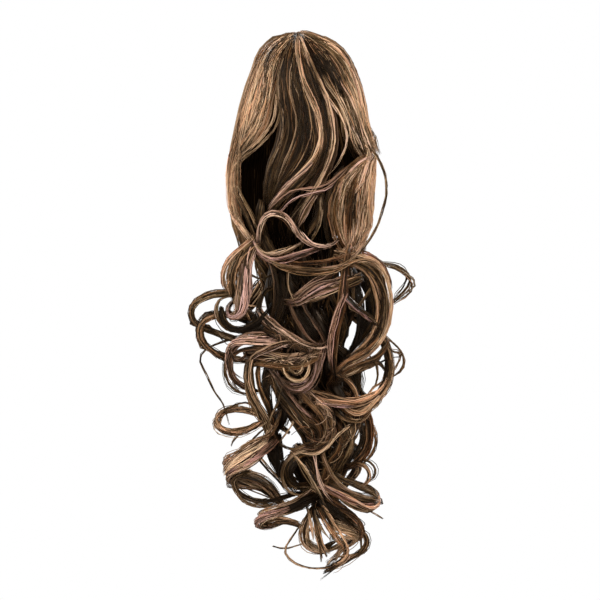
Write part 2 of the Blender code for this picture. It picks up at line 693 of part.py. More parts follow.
def make_tail(material):
    """Tail: ringlets fused to a core, with a head that fills the crown's room below the clip."""
    levels = np.linspace(CORE[0].down, CORE[-1].down, round((CORE[-1].down - CORE[0].down) / CORE_STEP) + 1)
    tail = loft("tail_hair", [core_ring(down) for down in levels])
    handover = CLIP_DOWN - HANDOVER_DOWN
    locks = helpers("tail_locks")
    for name, points, width, thickness in all_locks():
        if points[:, 2].min() < handover - LEAST_OVERHANG:
            hair_lock(name + "_lower", points, width, thickness, locks)
    join_all(tail, locks, HAIR_SOLVER)
    above = block("above_tail", (-BIG, -BIG, handover - 0.5 * SEAT_GAP), (BIG, BIG, BIG))
    combine(tail, "DIFFERENCE", above)
    levels = (CLIP_DOWN + CLIP_LENGTH / 2 + SEAT_GAP,) + CAVITY_LEVELS
    head = as_helper(loft("tail_head", [head_ring(down) for down in levels]))
    combine(tail, "UNION", head)
    keep_largest_shell(tail)
    draw_touching_points_apart(tail)
    tail.data.materials.clear()
    tail.data.materials.append(material)
    return tail


def jaw_point(angle, side, depth):
    """A point of a jaw's bow seen from above: the hinge is at 0 degrees and the tooth tips near 180."""
    half = CLIP_HALF_WIDTH - depth
    y = -math.cos(angle) * (CLIP_HINGE_FRONT - depth if math.cos(angle) > 0 else CLIP_TIP_BACK - depth)
    return side * half * math.sin(angle), y


def jaw_rings(side):
    """Sections of one jaw's wall, from the hinge round to the roots of the teeth."""
    rings = []
    for angle in np.radians(np.linspace(JAW_START_ANGLE, JAW_END_ANGLE, JAW_STEPS)):
        rise = 0.5 * CLIP_LENGTH * (JAW_LEAST_RISE + (1.0 - JAW_LEAST_RISE) * math.sin(angle))
        outer, inner = jaw_point(angle, side, 0.0), jaw_point(angle, side, CLIP_WALL)
        rings.append([(*outer, -rise), (*outer, rise), (*inner, rise), (*inner, -rise)])
    return rings


def tooth_rings(side, middle):
    """Sections of one curved tooth, which narrows to its tip."""
    rings = []
    root_angle = JAW_END_ANGLE - TOOTH_ROOT_ANGLE
    for share in np.linspace(0.0, 1.0, TOOTH_STEPS):
        angle = math.radians(root_angle + (TOOTH_END_ANGLE - root_angle) * share)
        half = 0.5 * (TOOTH_WIDTH + (TOOTH_TIP_WIDTH - TOOTH_WIDTH) * share)
        wall = CLIP_WALL * (1.0 - TOOTH_THINNING * share)
        outer, inner = jaw_point(angle, side, 0.0), jaw_point(angle, side, wall)
        rings.append([
            (*outer, middle - half),
            (*outer, middle + half),
            (*inner, middle + half),
            (*inner, middle - half),
        ])
    return rings


def thumb_tab_rings(side):
    """Sections of a thumb tab, which leans out from the hinge."""
    rings = []
    lean = math.radians(TAB_LEAN)
    for share in TAB_SHARES:
        reach = TAB_LENGTH * share
        x = side * (TAB_ASIDE + reach * math.sin(lean))
        y = -CLIP_HINGE_FRONT + TAB_SUNK - reach * math.cos(lean)
        half = 0.5 * TAB_HEIGHT * (1.0 - TAB_NARROWING * share**2)
        dx, dy = 0.5 * CLIP_WALL * math.cos(lean) * side, 0.5 * CLIP_WALL * math.sin(lean)
        rings.append([
            (x - dx, y - dy, -half),
            (x - dx, y - dy, half),
            (x + dx, y + dy, half),
            (x + dx, y + dy, -half),
        ])
    return rings


def make_clip(material):
    """Claw clip, gripping: both toothed jaws, the hinge barrel and the thumb tabs as one plain piece."""
    bpy.ops.mesh.primitive_cylinder_add(
        vertices=HINGE_SIDES, radius=HINGE_RADIUS * MM, depth=HINGE_LENGTH * MM,
        location=(0.0, -CLIP_HINGE_FRONT * MM, 0.0))
    clip = bpy.context.object
    clip.name = "claw_clip"
    clip.data.transform(clip.matrix_world)
    clip.matrix_world.identity()
    clip.location = (0.0, 0.0, 0.0)
    pieces = helpers("clip_pieces")
    pitch = CLIP_LENGTH * TEETH_SPREAD / TEETH_PER_JAW
    for side in (-1, 1):
        as_helper(loft(f"jaw_{side}", jaw_rings(side), pieces))
        as_helper(loft(f"tab_{side}", thumb_tab_rings(side), pieces))
        for k in range(TEETH_PER_JAW):
            middle = (k - 0.5 * (TEETH_PER_JAW - 1) + side * TOOTH_STAGGER) * pitch
            as_helper(loft(f"tooth_{side}_{k}", tooth_rings(side, middle), pieces))
    join_all(clip, pieces, "EXACT")
    clip.data.materials.clear()
    clip.data.materials.append(material)
    clip.data.shade_smooth()
    clip.data.set_sharp_from_angle(angle=math.radians(CLIP_SMOOTH_ANGLE))
    return clip


def main():
    clear_scene()
    hair = finish_of("brown_hair", (0.16, 0.09, 0.05), 0.42)
    clip_plastic = finish_of("clip_plastic", (0.05, 0.028, 0.018), 0.3)
    make_clip(clip_plastic)
    for piece in (make_crown(hair), make_tail(hair)):
        piece.data.shade_smooth()
        piece.data.set_sharp_from_angle(angle=math.radians(HAIR_SMOOTH_ANGLE))


main()
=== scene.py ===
"""Curled ponytail hairpiece on a claw clip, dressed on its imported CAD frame.

The frame's origin is the middle of the clip's grip. +Z is up, the wearer's head is at +Y and the hair falls
on the -Y side. The tables are in millimetres, and everything is built in metres.
"""

import math
from collections import namedtuple

import bpy
import numpy as np
from bpy.props import FloatProperty, FloatVectorProperty, IntProperty, PointerProperty
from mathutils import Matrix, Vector


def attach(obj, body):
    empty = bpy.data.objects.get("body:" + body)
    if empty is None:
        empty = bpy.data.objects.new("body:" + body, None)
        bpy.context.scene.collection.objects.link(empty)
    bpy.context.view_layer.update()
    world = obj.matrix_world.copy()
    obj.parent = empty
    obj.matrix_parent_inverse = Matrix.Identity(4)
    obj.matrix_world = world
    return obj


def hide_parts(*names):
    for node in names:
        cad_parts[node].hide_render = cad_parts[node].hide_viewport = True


bl_info = {
    "name": "Curled Ponytail Hairpiece",
    "version": (1, 0, 0),
    "blender": (4, 5, 0),
    "location": "3D View > Sidebar > Hairpiece",
    "description": "Grows the combed crown and the ringlets of a claw clip ponytail, strand by strand",
    "category": "Object",
}

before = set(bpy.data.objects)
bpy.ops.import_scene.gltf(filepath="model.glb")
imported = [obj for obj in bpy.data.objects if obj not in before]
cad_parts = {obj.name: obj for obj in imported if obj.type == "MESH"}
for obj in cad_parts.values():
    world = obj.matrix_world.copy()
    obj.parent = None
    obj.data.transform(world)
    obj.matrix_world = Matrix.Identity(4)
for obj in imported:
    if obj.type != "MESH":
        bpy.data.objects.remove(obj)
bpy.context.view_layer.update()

MM = 0.001

# The front view is charted in millimetres across and down its 600 mm square frame.
PARTING_ACROSS = 297.0
CLIP_DOWN = 95.0
VIEW_MIDDLE = (300.0, 300.0)
VIEW_WIDTH = 600.0

# Outline of the crown: how far left and right it reaches in the front view and how far forward it stands
CrownRow = namedtuple("CrownRow", "down left right front")
CROWN_OUTLINE = (
    CrownRow(33, 294, 302, 4),
    CrownRow(36, 276, 322, 14),
    CrownRow(42, 266, 336, 27),
    CrownRow(52, 257, 347, 39),
    CrownRow(66, 252, 355, 48),
    CrownRow(84, 245, 362, 54),
    CrownRow(104, 239, 367, 58),
    CrownRow(126, 234, 370, 61),
    CrownRow(150, 229, 376, 63),
    CrownRow(175, 226, 375, 64),
    CrownRow(200, 228, 372, 63),
    CrownRow(222, 230, 368, 60),
    CrownRow(244, 240, 367, 56),
)
CROWN_ROUNDNESS = 2.2
CROWN_BACK = 24.0
CROWN_RIM_ANGLE = 140.0
CROWN_END_DOWN = 246.0
BACKING_INSET = 8.5

Hollow = namedtuple("Hollow", "across down half_width half_height depth")
HOLLOWS = (
    Hollow(254, 178, 24, 46, 15),
    Hollow(352, 166, 24, 12, 9),
    Hollow(286, 232, 24, 16, 6),
    Hollow(322, 222, 12, 30, 7),
)

# Room inside the crown: the clip sits in its upper part and the head of the tail in its lower part.
CavityRow = namedtuple("CavityRow", "down half_width front back")
CAVITY = (
    CavityRow(49, 20, 21, 22),
    CavityRow(54, 22.9, 26, 23),
    CavityRow(66, 22.9, 32, 23),
    CavityRow(82, 22.9, 36, 23),
    CavityRow(138, 22.9, 36, 23),
    CavityRow(160, 27, 37, 24),
    CavityRow(200, 33, 38, 25),
    CavityRow(240, 36, 39, 27),
)
CAVITY_CENTRE_BACK = -2.0
CLIP_FOOT_DOWN = 134.5

# Core of the tail: hair that the ringlets spring from, painted dark as the shade inside the tail
CoreRow = namedtuple("CoreRow", "down across half_width front back")
CORE = (
    CoreRow(232, 305, 35, 43, 27),
    CoreRow(262, 308, 34, 44, 32),
    CoreRow(300, 309, 37, 45, 36),
    CoreRow(340, 306, 38, 46, 36),
    CoreRow(375, 303, 35, 44, 34),
    CoreRow(405, 314, 32, 40, 30),
    CoreRow(435, 327, 27, 36, 26),
    CoreRow(465, 326, 24, 32, 22),
    CoreRow(492, 323, 18, 26, 18),
    CoreRow(514, 327, 9, 16, 10),
)

# A combed lock lies on the crown, lifted off its outline by some millimetres. Its way is charted down the
# front view, and a point's third value, where it has one, sinks the lock that much deeper there.
# Shade runs from 0, near black, to 1, beige. Copper and rose are shares of a warm and of a pink dye.
Combed = namedtuple("Combed", "name width thickness lift shade copper rose way")
COMBED_LOCKS = (
    Combed("left_edge", 17, 10, 0, 0.50, 0.3, 0.0, (
        (290, 39), (274, 46), (263, 60), (256, 80), (249, 102), (243, 124), (239, 146), (234, 168),
        (233, 190), (235, 210), (241, 227), (249, 240), (258, 252))),
    Combed("left_fan_outer", 18, 9, 0, 0.66, 0.2, 0.0, (
        (291, 38), (278, 48), (268, 66), (262, 88), (256, 110), (248, 130), (240, 148), (234, 166))),
    Combed("left_fan_inner", 17, 9, 1, 0.58, 0.3, 0.0, (
        (293, 38), (283, 50), (275, 68), (270, 90), (266, 110), (259, 129), (249, 146), (239, 160))),
    Combed("centre_left_outer", 12, 9, 0, 0.26, 0.0, 0.0, (
        (294, 38), (286, 52), (280, 76), (281, 102), (283, 126), (279, 150), (271, 170), (267, 190),
        (268, 208))),
    Combed("centre_left", 19, 9, 0, 0.28, 0.1, 0.0, (
        (296, 38), (292, 56), (290, 80), (294, 104), (300, 126), (300, 146), (292, 164), (282, 180),
        (274, 198))),
    Combed("centre_light", 14, 9, 1, 0.40, 0.1, 0.1, (
        (298, 39), (301, 60), (306, 82), (313, 103), (318, 124), (319, 145), (314, 164), (302, 179),
        (288, 191), (275, 204), (267, 216))),
    Combed("centre_right_light", 13, 9, 1, 0.38, 0.1, 0.4, (
        (301, 39), (309, 58), (317, 80), (325, 100), (331, 120), (333, 142), (329, 162), (321, 180),
        (311, 196), (300, 211), (290, 224))),
    Combed("right_fan_inner", 18, 9, 1, 0.24, 0.2, 0.0, (
        (304, 39), (315, 54), (328, 76), (339, 98), (346, 120), (351, 138), (355, 151, 1), (361, 160, 9))),
    Combed("right_fan_outer", 18, 9, 1, 0.50, 0.2, 0.0, (
        (307, 40), (322, 49), (338, 68), (349, 90), (357, 112), (363, 132), (368, 148, 2), (373, 157, 10))),
    Combed("right_edge", 17, 10, 0, 0.62, 0.2, 0.0, (
        (311, 41), (328, 46), (342, 57), (352, 74), (358, 94), (363, 114), (368, 134), (372, 148, 1),
        (376, 157, 8))),
    Combed("right_bulge_outer", 17, 11, 0, 0.74, 0.2, 0.0, (
        (364, 146, 16), (371, 154, 6), (370, 168), (368, 190), (367, 210), (364, 230), (359, 246),
        (350, 260))),
    Combed("right_bulge_middle", 16, 10, 2, 0.66, 0.2, 0.1, (
        (366, 147, 16), (370, 156, 6), (362, 169), (356, 186), (354, 206), (353, 226), (350, 244),
        (342, 258))),
    Combed("right_bulge_inner", 14, 10, 1, 0.42, 0.5, 0.0, (
        (366, 148, 16), (368, 157, 6), (357, 167), (344, 180), (338, 198), (337, 216), (340, 234),
        (350, 250))),
    Combed("centre_under", 12, 7, -5, 0.26, 0.2, 0.0, (
        (318, 182), (320, 200), (317, 218), (308, 236), (300, 252))),
    Combed("neck_left", 13, 8, -3, 0.24, 0.1, 0.0, (
        (262, 200), (260, 218), (264, 236), (272, 254), (280, 272))),
)
PARTING_ROOT = (298.0, 35.5, 1.0)
LAST_ROOT_DOWN = 45.0

# Fine locks that lie on the combed ones and carry their highlights and their dark partings
FINE_LEFT_LOCKS = (
    Combed("fan_outer_light", 8, 3, 1.5, 0.80, 0.2, 0.1, (
        (289, 38), (274, 48), (263, 64), (256, 84), (250, 106), (242, 126), (234, 146), (230, 166),
        (230, 190))),
    Combed("fan_middle_light", 7, 3, 2, 0.84, 0.1, 0.1, (
        (290, 39), (276, 50), (268, 68), (264, 90), (259, 110), (250, 130), (240, 148), (232, 164),
        (230, 180))),
    Combed("fan_inner_light", 6, 3, 2, 0.72, 0.2, 0.0, (
        (291, 39), (281, 50), (273, 66), (270, 86), (268, 104), (262, 120), (252, 136), (242, 150),
        (234, 166), (231, 184), (232, 204))),
    Combed("fan_dark_line", 3, 2, 2.5, 0.14, 0.4, 0.0, (
        (288, 39), (272, 52), (266, 70), (267, 88), (263, 106), (254, 124), (245, 140))),
    Combed("fan_copper_top", 5, 3, 2, 0.48, 0.8, 0.0, (
        (287, 37), (272, 43), (261, 54), (255, 68), (251, 84), (246, 102))),
    Combed("fan_copper_low", 6, 3, 1.5, 0.60, 0.7, 0.2, (
        (256, 96), (251, 110), (245, 122), (238, 136), (232, 150), (229, 168), (230, 186))),
    Combed("hollow_edge_light", 4, 2.5, 1, 0.66, 0.1, 0.0, (
        (276, 96), (276, 110), (273, 124), (264, 136), (253, 147), (243, 157), (234, 169), (231, 186),
        (233, 206), (241, 222), (250, 236))),
    Combed("hollow_edge_grey", 3, 2, 0.5, 0.58, 0.0, 0.0, (
        (281, 104), (280, 118), (275, 130), (266, 141), (255, 151), (244, 160), (236, 172))),
    Combed("edge_light", 7, 4, 2, 0.78, 0.2, 0.1, (
        (230, 156), (228, 174), (229, 192), (231, 208), (238, 222), (247, 234), (256, 246))),
    Combed("edge_inner", 5, 3, -1, 0.42, 0.1, 0.1, (
        (234, 176), (236, 194), (243, 208), (249, 222), (255, 236), (262, 250))),
    Combed("edge_inner_thin", 3, 2, -3, 0.52, 0.1, 0.0, (
        (238, 186), (244, 202), (252, 216), (258, 230), (263, 246))),
)
FINE_CENTRE_LOCKS = (
    Combed("wavy_light_left", 3.5, 3, 3, 0.62, 0.0, 0.0, (
        (292, 42), (284, 58), (278, 78), (278, 98), (282, 114), (283, 130), (281, 144), (275, 156),
        (269, 170), (265, 186), (264, 204))),
    Combed("wavy_olive_left", 7, 4, 1.5, 0.34, 0.0, 0.0, (
        (293, 42), (287, 60), (284, 80), (287, 100), (290, 118), (289, 136), (284, 152), (277, 168),
        (271, 184), (268, 202))),
    Combed("wavy_dark_left", 6, 3, 2, 0.16, 0.0, 0.0, (
        (291, 44), (285, 62), (283, 84), (286, 104), (284, 124), (279, 142))),
    Combed("wavy_light_middle", 3, 3, 2, 0.56, 0.0, 0.0, (
        (296, 40), (291, 56), (290, 70), (292, 82), (297, 96), (303, 110), (302, 126), (296, 142),
        (290, 158), (284, 172), (276, 188), (270, 204))),
    Combed("wavy_brown_middle", 8, 5, 1, 0.30, 0.1, 0.0, (
        (296, 44), (294, 64), (297, 84), (304, 104), (308, 124), (306, 144), (299, 160), (290, 174),
        (281, 188), (274, 204))),
    Combed("wavy_dark_right", 7, 3, 2, 0.12, 0.0, 0.0, (
        (299, 60), (302, 80), (308, 100), (312, 120), (312, 140), (306, 156), (297, 170))),
    Combed("sweep_light", 6, 4, 4, 0.86, 0.2, 0.1, (
        (297, 44), (298, 62), (302, 80), (309, 96), (316, 112), (321, 128), (321, 142), (316, 156),
        (306, 170), (293, 182), (281, 193), (271, 206))),
    Combed("sweep_pink_tip", 4, 3, 5, 0.74, 0.1, 0.4, (
        (312, 164), (301, 176), (290, 184), (281, 193), (274, 202), (268, 210))),
    Combed("sweep_copper", 5, 4, 3, 0.40, 0.7, 0.0, (
        (300, 46), (303, 64), (309, 80), (314, 96), (321, 110), (325, 126), (326, 142), (322, 158))),
    Combed("pale_sweep", 5.5, 4, 4, 0.76, 0.0, 0.15, (
        (300, 40), (307, 58), (317, 80), (326, 98), (330, 114), (333, 130), (333, 146), (329, 160),
        (324, 174), (317, 187), (308, 200), (301, 212), (297, 222))),
    Combed("pale_sweep_thin", 2.5, 2, 4, 0.74, 0.0, 0.1, (
        (301, 40), (310, 62), (320, 86), (328, 101), (336, 111), (343, 124), (347, 138), (344, 152),
        (337, 166), (326, 178))),
    Combed("pink_cross", 3, 3, 4, 0.60, 0.2, 0.45, (
        (350, 166, 9), (342, 172, 4), (333, 181), (323, 188), (308, 190), (294, 192), (282, 199),
        (272, 208), (266, 216))),
    Combed("pink_cross_thin", 2, 2, 4, 0.52, 0.2, 0.5, (
        (336, 182, 6), (326, 191), (311, 195), (297, 199), (286, 207), (277, 216))),
    Combed("wavy_dark_middle", 5, 3, 2.5, 0.10, 0.1, 0.0, (
        (294, 60), (297, 82), (301, 104), (301, 124), (296, 140), (289, 156), (281, 172))),
    Combed("wavy_gold_thin", 1.6, 1.6, 3, 0.62, 0.2, 0.0, (
        (295, 52), (291, 74), (291, 94), (296, 114), (297, 132), (291, 150), (284, 166), (277, 184))),
    Combed("wavy_gold_thin_right", 1.6, 1.6, 3, 0.58, 0.2, 0.0, (
        (299, 66), (303, 90), (309, 112), (312, 132), (307, 150), (297, 168), (286, 182))),
    Combed("dark_between", 5.5, 3, 3, 0.10, 0.0, 0.0, (
        (320, 96), (325, 112), (328, 130), (328, 148), (322, 164))),
    Combed("under_strand_grey", 4, 3, 0, 0.52, 0.0, 0.0, (
        (321, 194), (321, 208), (320, 222), (315, 234), (309, 244))),
    Combed("under_strand_beige", 4, 3, 1, 0.60, 0.1, 0.2, (
        (316, 196), (309, 208), (303, 220), (296, 232))),
    Combed("under_dark", 10, 5, -4, 0.20, 0.3, 0.0, (
        (306, 196), (300, 210), (294, 224), (288, 240))),
)
FINE_RIGHT_LOCKS = (
    Combed("top_sheen", 8, 3, 2, 0.52, 0.0, 0.0, (
        (304, 39), (312, 44), (322, 55), (332, 70), (341, 88), (348, 106))),
    Combed("brown_patch", 20, 4, 2.5, 0.12, 0.3, 0.0, (
        (314, 51, 3), (324, 60), (334, 72), (341, 86), (345, 100))),
    Combed("copper_patch", 8, 3, 2, 0.26, 0.8, 0.0, (
        (304, 46), (312, 64), (319, 82), (326, 96), (332, 108))),
    Combed("right_light_inner", 8, 3, 2.5, 0.72, 0.1, 0.1, (
        (316, 64, 8), (326, 80, 3), (335, 96), (343, 110), (349, 126), (355, 142), (361, 153, 2),
        (367, 160, 10))),
    Combed("right_light_middle", 10, 4, 3, 0.78, 0.1, 0.1, (
        (322, 58, 8), (333, 74, 3), (344, 92), (353, 110), (360, 130), (366, 147, 1), (372, 157, 10))),
    Combed("right_light_outer", 7, 4, 3, 0.86, 0.4, 0.0, (
        (317, 41), (333, 48), (347, 63), (355, 82), (360, 102), (365, 122), (369, 140), (373, 151, 3),
        (376, 159, 10))),
    Combed("right_rim_dark", 4, 3, 1.5, 0.30, 0.5, 0.0, (
        (323, 42), (338, 48), (350, 61), (358, 80), (363, 100), (367, 120), (371, 138), (375, 152))),
    Combed("right_pink_line", 3, 2, 4, 0.58, 0.4, 0.2, (
        (328, 42), (344, 56), (353, 74), (358, 94), (362, 114), (364, 134))),
    Combed("right_flap_dark", 4, 3, 2, 0.22, 0.3, 0.0, (
        (340, 106), (347, 122), (353, 137), (360, 150), (368, 158, 8))),
    Combed("bulge_rim", 8, 5, 2, 0.84, 0.3, 0.0, (
        (366, 147, 14), (373, 155, 5), (374, 170), (373, 190), (370, 210), (366, 230), (360, 246),
        (350, 258), (338, 264))),
    Combed("bulge_fan", 10, 5, 2, 0.80, 0.1, 0.1, (
        (366, 148, 14), (372, 156, 4), (369, 168), (366, 186), (364, 206), (361, 226), (355, 244),
        (346, 257))),
    Combed("bulge_fan_low", 8, 5, 3, 0.84, 0.1, 0.1, (
        (366, 149, 14), (370, 157, 4), (363, 168), (357, 182), (356, 200), (357, 216), (355, 232),
        (348, 247), (338, 257))),
    Combed("bulge_top_light", 5, 4, 3, 0.86, 0.1, 0.3, (
        (367, 150, 14), (369, 157, 4), (361, 163), (353, 170), (345, 181), (340, 194), (338, 208))),
    Combed("bulge_nest_outer", 5, 5, 3, 0.72, 0.2, 0.1, (
        (367, 150, 14), (368, 159, 4), (359, 168), (348, 182), (342, 198), (339, 214), (340, 230),
        (345, 244), (353, 253))),
    Combed("bulge_nest_dark", 6, 3, 3.5, 0.16, 0.6, 0.0, (
        (356, 186), (353, 198), (351, 212), (350, 226), (352, 238))),
    Combed("bulge_nest_copper", 4, 3, 4, 0.42, 0.9, 0.0, (
        (360, 178), (354, 190), (349, 204), (347, 218), (348, 232))),
    Combed("bulge_nest_inner", 4, 4, 3, 0.60, 0.3, 0.0, (
        (366, 170), (355, 182), (348, 196), (345, 210), (344, 226), (346, 240), (352, 250))),
    Combed("bulge_left_rim", 5, 4, 0.5, 0.50, 0.5, 0.1, (
        (366, 150, 14), (364, 160, 5), (353, 168), (341, 180), (333, 196), (330, 213), (332, 231),
        (338, 247), (347, 258))),
    Combed("bulge_left_dark", 9, 5, -4, 0.16, 0.2, 0.0, (
        (344, 168), (334, 182), (328, 200), (326, 218), (327, 236), (331, 250))),
)

# Fine hair spread between two neighbouring combed locks: how many strands, their lift and their shade
Spread = namedtuple("Spread", "first second strands lift shade")
SPREADS = (
    Spread("left_edge", "left_fan_outer", 60, 1.5, 0.62),
    Spread("left_fan_outer", "left_fan_inner", 70, 2.0, 0.66),
    Spread("centre_left_outer", "centre_left", 110, 1.5, 0.28),
    Spread("centre_left", "centre_light", 130, 1.5, 0.25),
    Spread("centre_light", "centre_right_light", 60, 2.0, 0.28),
    Spread("right_fan_inner", "right_fan_outer", 60, 1.5, 0.46),
    Spread("right_fan_outer", "right_edge", 60, 1.5, 0.56),
    Spread("right_bulge_outer", "right_bulge_middle", 50, 2.5, 0.66),
    Spread("right_bulge_middle", "right_bulge_inner", 50, 2.5, 0.50),
)

# A charted lock gives its way through the air: across, down and forward of the clip's middle.
Charted = namedtuple("Charted", "name width thickness shade copper rose way")
# In the tables of charted locks, the near-black ones, with a shade of 0.12 or less, are painted shade in the
# hollows between the curls.
LEFT_LOCKS = (
    Charted("left_bulge", 20, 12, 0.62, 0.3, 0.0, (
        (262, 234, 34), (248, 247, 36), (237, 260, 38), (232, 275, 36), (233, 290, 30), (241, 306, 22),
        (258, 318, 14))),
    Charted("left_hook", 17, 9, 0.60, 0.1, 0.3, (
        (262, 228, 26), (254, 243, 34), (247, 260, 42), (244, 279, 50), (244, 297, 54), (243, 310, 52),
        (237, 318, 45), (230, 317, 36), (228, 308, 28), (236, 300, 18))),
    Charted("left_ring", 10, 6, 0.36, 0.1, 0.0, (
        (250, 298, 22), (236, 295, 28), (222, 294, 34), (207, 297, 39), (195, 305, 40), (192, 315, 35),
        (198, 324, 29), (211, 330, 25), (226, 336, 25), (244, 342, 28), (262, 344, 30))),
    Charted("left_round", 6, 4.5, 0.36, 0.0, 0.0, (
        (280, 288, 26), (268, 289, 31), (261, 299, 34), (257, 315, 36), (247, 327, 38), (234, 330, 40),
        (223, 324, 40), (218, 311, 38), (220, 300, 33), (230, 296, 26))),
    Charted("left_outer_bend", 12, 8, 0.40, 0.1, 0.1, (
        (252, 322, 16), (234, 316, 20), (217, 314, 28), (204, 319, 34), (200, 330, 36), (203, 341, 33),
        (213, 351, 27), (226, 357, 22), (244, 360, 20), (262, 362, 22))),
    Charted("left_lower_bend", 13, 8, 0.60, 0.1, 0.4, (
        (276, 334, 44), (260, 337, 50), (244, 340, 50), (234, 347, 46), (230, 359, 40), (231, 371, 34),
        (237, 381, 29), (248, 387, 26), (262, 392, 26))),
    Charted("left_run", 14, 10, 0.50, 0.2, 0.0, (
        (276, 338, 34), (260, 348, 36), (251, 362, 38), (249, 379, 40), (253, 396, 42), (261, 411, 42),
        (268, 426, 38), (272, 441, 32), (280, 456, 24))),
    # Painted shade: a near-black lock that fills the dark hollow among the left curls.
    Charted("hollow_fill", 22, 12, 0.08, 0.1, 0.0, (
        (292, 352, 26), (286, 368, 30), (284, 384, 32), (284, 400, 32), (283, 416, 30), (277, 431, 26))),
    Charted("left_flat_ring", 9, 5, 0.62, 0.2, 0.0, (
        (290, 432, 22), (276, 424, 16), (262, 416, 9), (248, 411, 4), (233, 410, 4), (221, 414, 10),
        (216, 421, 20), (221, 428, 31), (234, 431, 38), (249, 428, 40), (263, 421, 38), (278, 412, 32))),
)
CENTRE_LOCKS = (
    Charted("arch", 8, 5, 0.84, 0.1, 0.3, (
        (258, 244, 40), (259, 236, 48), (261, 226, 56), (266, 217, 63), (275, 213, 68), (285, 217, 71),
        (293, 226, 72), (300, 236, 71), (309, 244, 70), (320, 248, 66), (331, 246, 58), (338, 240, 48))),
    Charted("centre_vertical", 11, 8, 0.46, 0.6, 0.1, (
        (350, 246, 46), (346, 262, 53), (343, 280, 58), (341, 297, 61), (338, 315, 61), (334, 333, 59),
        (332, 351, 57), (333, 368, 53), (336, 382, 44))),
    Charted("centre_cross", 13, 8, 0.52, 0.2, 0.1, (
        (362, 276, 44), (350, 282, 54), (336, 287, 60), (320, 293, 62), (305, 299, 61), (292, 303, 56),
        (280, 300, 46))),
    Charted("centre_swirl", 14, 9, 0.54, 0.1, 0.3, (
        (258, 310, 34), (264, 320, 44), (273, 329, 53), (285, 337, 59), (299, 344, 61), (313, 348, 58),
        (326, 344, 48))),
    Charted("centre_band", 16, 9, 0.60, 0.1, 0.2, (
        (244, 352, 34), (257, 355, 45), (272, 358, 54), (288, 360, 59), (304, 358, 59), (318, 350, 54),
        (330, 340, 46))),
    Charted("centre_bowl", 10, 8, 0.62, 0.0, 0.5, (
        (322, 340, 44), (319, 354, 53), (316, 368, 58), (310, 381, 61), (300, 388, 62), (288, 385, 60),
        (278, 376, 55), (268, 364, 46))),
    Charted("centre_lower_run", 16, 10, 0.50, 0.2, 0.1, (
        (268, 366, 38), (276, 382, 48), (285, 397, 54), (295, 411, 55), (306, 424, 51), (318, 436, 44),
        (328, 450, 34))),
    Charted("centre_lower_curl", 17, 10, 0.62, 0.1, 0.2, (
        (296, 386, 40), (308, 394, 48), (321, 404, 54), (330, 417, 56), (331, 431, 54), (324, 442, 50),
        (312, 449, 44), (304, 456, 34))),
)
RIGHT_LOCKS = (
    Charted("right_main", 19, 13, 0.64, 0.3, 0.0, (
        (334, 252, 42), (350, 257, 46), (364, 263, 46), (376, 273, 42), (382, 289, 36), (384, 306, 31),
        (382, 323, 29), (377, 339, 32), (367, 351, 37), (354, 360, 40), (338, 366, 40))),
    Charted("right_hook", 2.4, 2.0, 0.46, 0.1, 0.0, (
        (352, 258, 38), (372, 262, 34), (388, 265, 28), (401, 269, 21), (409, 276, 14), (409, 284, 8),
        (403, 292, 5), (395, 299, 8), (389, 309, 14), (380, 322, 22))),
    Charted("right_small_hook", 3, 2.4, 0.50, 0.2, 0.0, (
        (376, 330, 26), (386, 338, 24), (395, 345, 20), (402, 354, 16), (404, 363, 13), (398, 373, 11),
        (386, 379, 12))),
    Charted("right_back", 22, 16, 0.22, 0.1, 0.0, (
        (346, 258, 8), (362, 274, 12), (370, 292, 14), (372, 310, 14), (366, 330, 12), (350, 350, 8))),
    Charted("right_diagonal", 7, 5, 0.36, 0.1, 0.0, (
        (338, 288, 52), (344, 296, 58), (352, 305, 59), (362, 312, 55), (372, 319, 46), (380, 330, 36))),
    Charted("right_ring_outer", 13, 9, 0.50, 0.2, 0.0, (
        (372, 326, 22), (382, 340, 19), (387, 354, 15), (388, 369, 12), (386, 384, 15), (379, 396, 24),
        (367, 405, 34), (352, 411, 40), (336, 414, 40))),
    Charted("right_ring_inner", 9, 6, 0.46, 0.1, 0.1, (
        (326, 376, 38), (340, 373, 42), (354, 369, 41), (367, 364, 35), (379, 362, 25), (385, 371, 15))),
    Charted("right_low_fill", 20, 14, 0.22, 0.2, 0.0, (
        (334, 346, 20), (348, 360, 22), (356, 376, 22), (355, 392, 20), (342, 408, 16))),
    Charted("right_band", 12, 7, 0.72, 0.5, 0.0, (
        (304, 390, 40), (318, 395, 48), (334, 400, 53), (351, 402, 52), (367, 399, 45), (380, 391, 33),
        (386, 380, 22))),
)
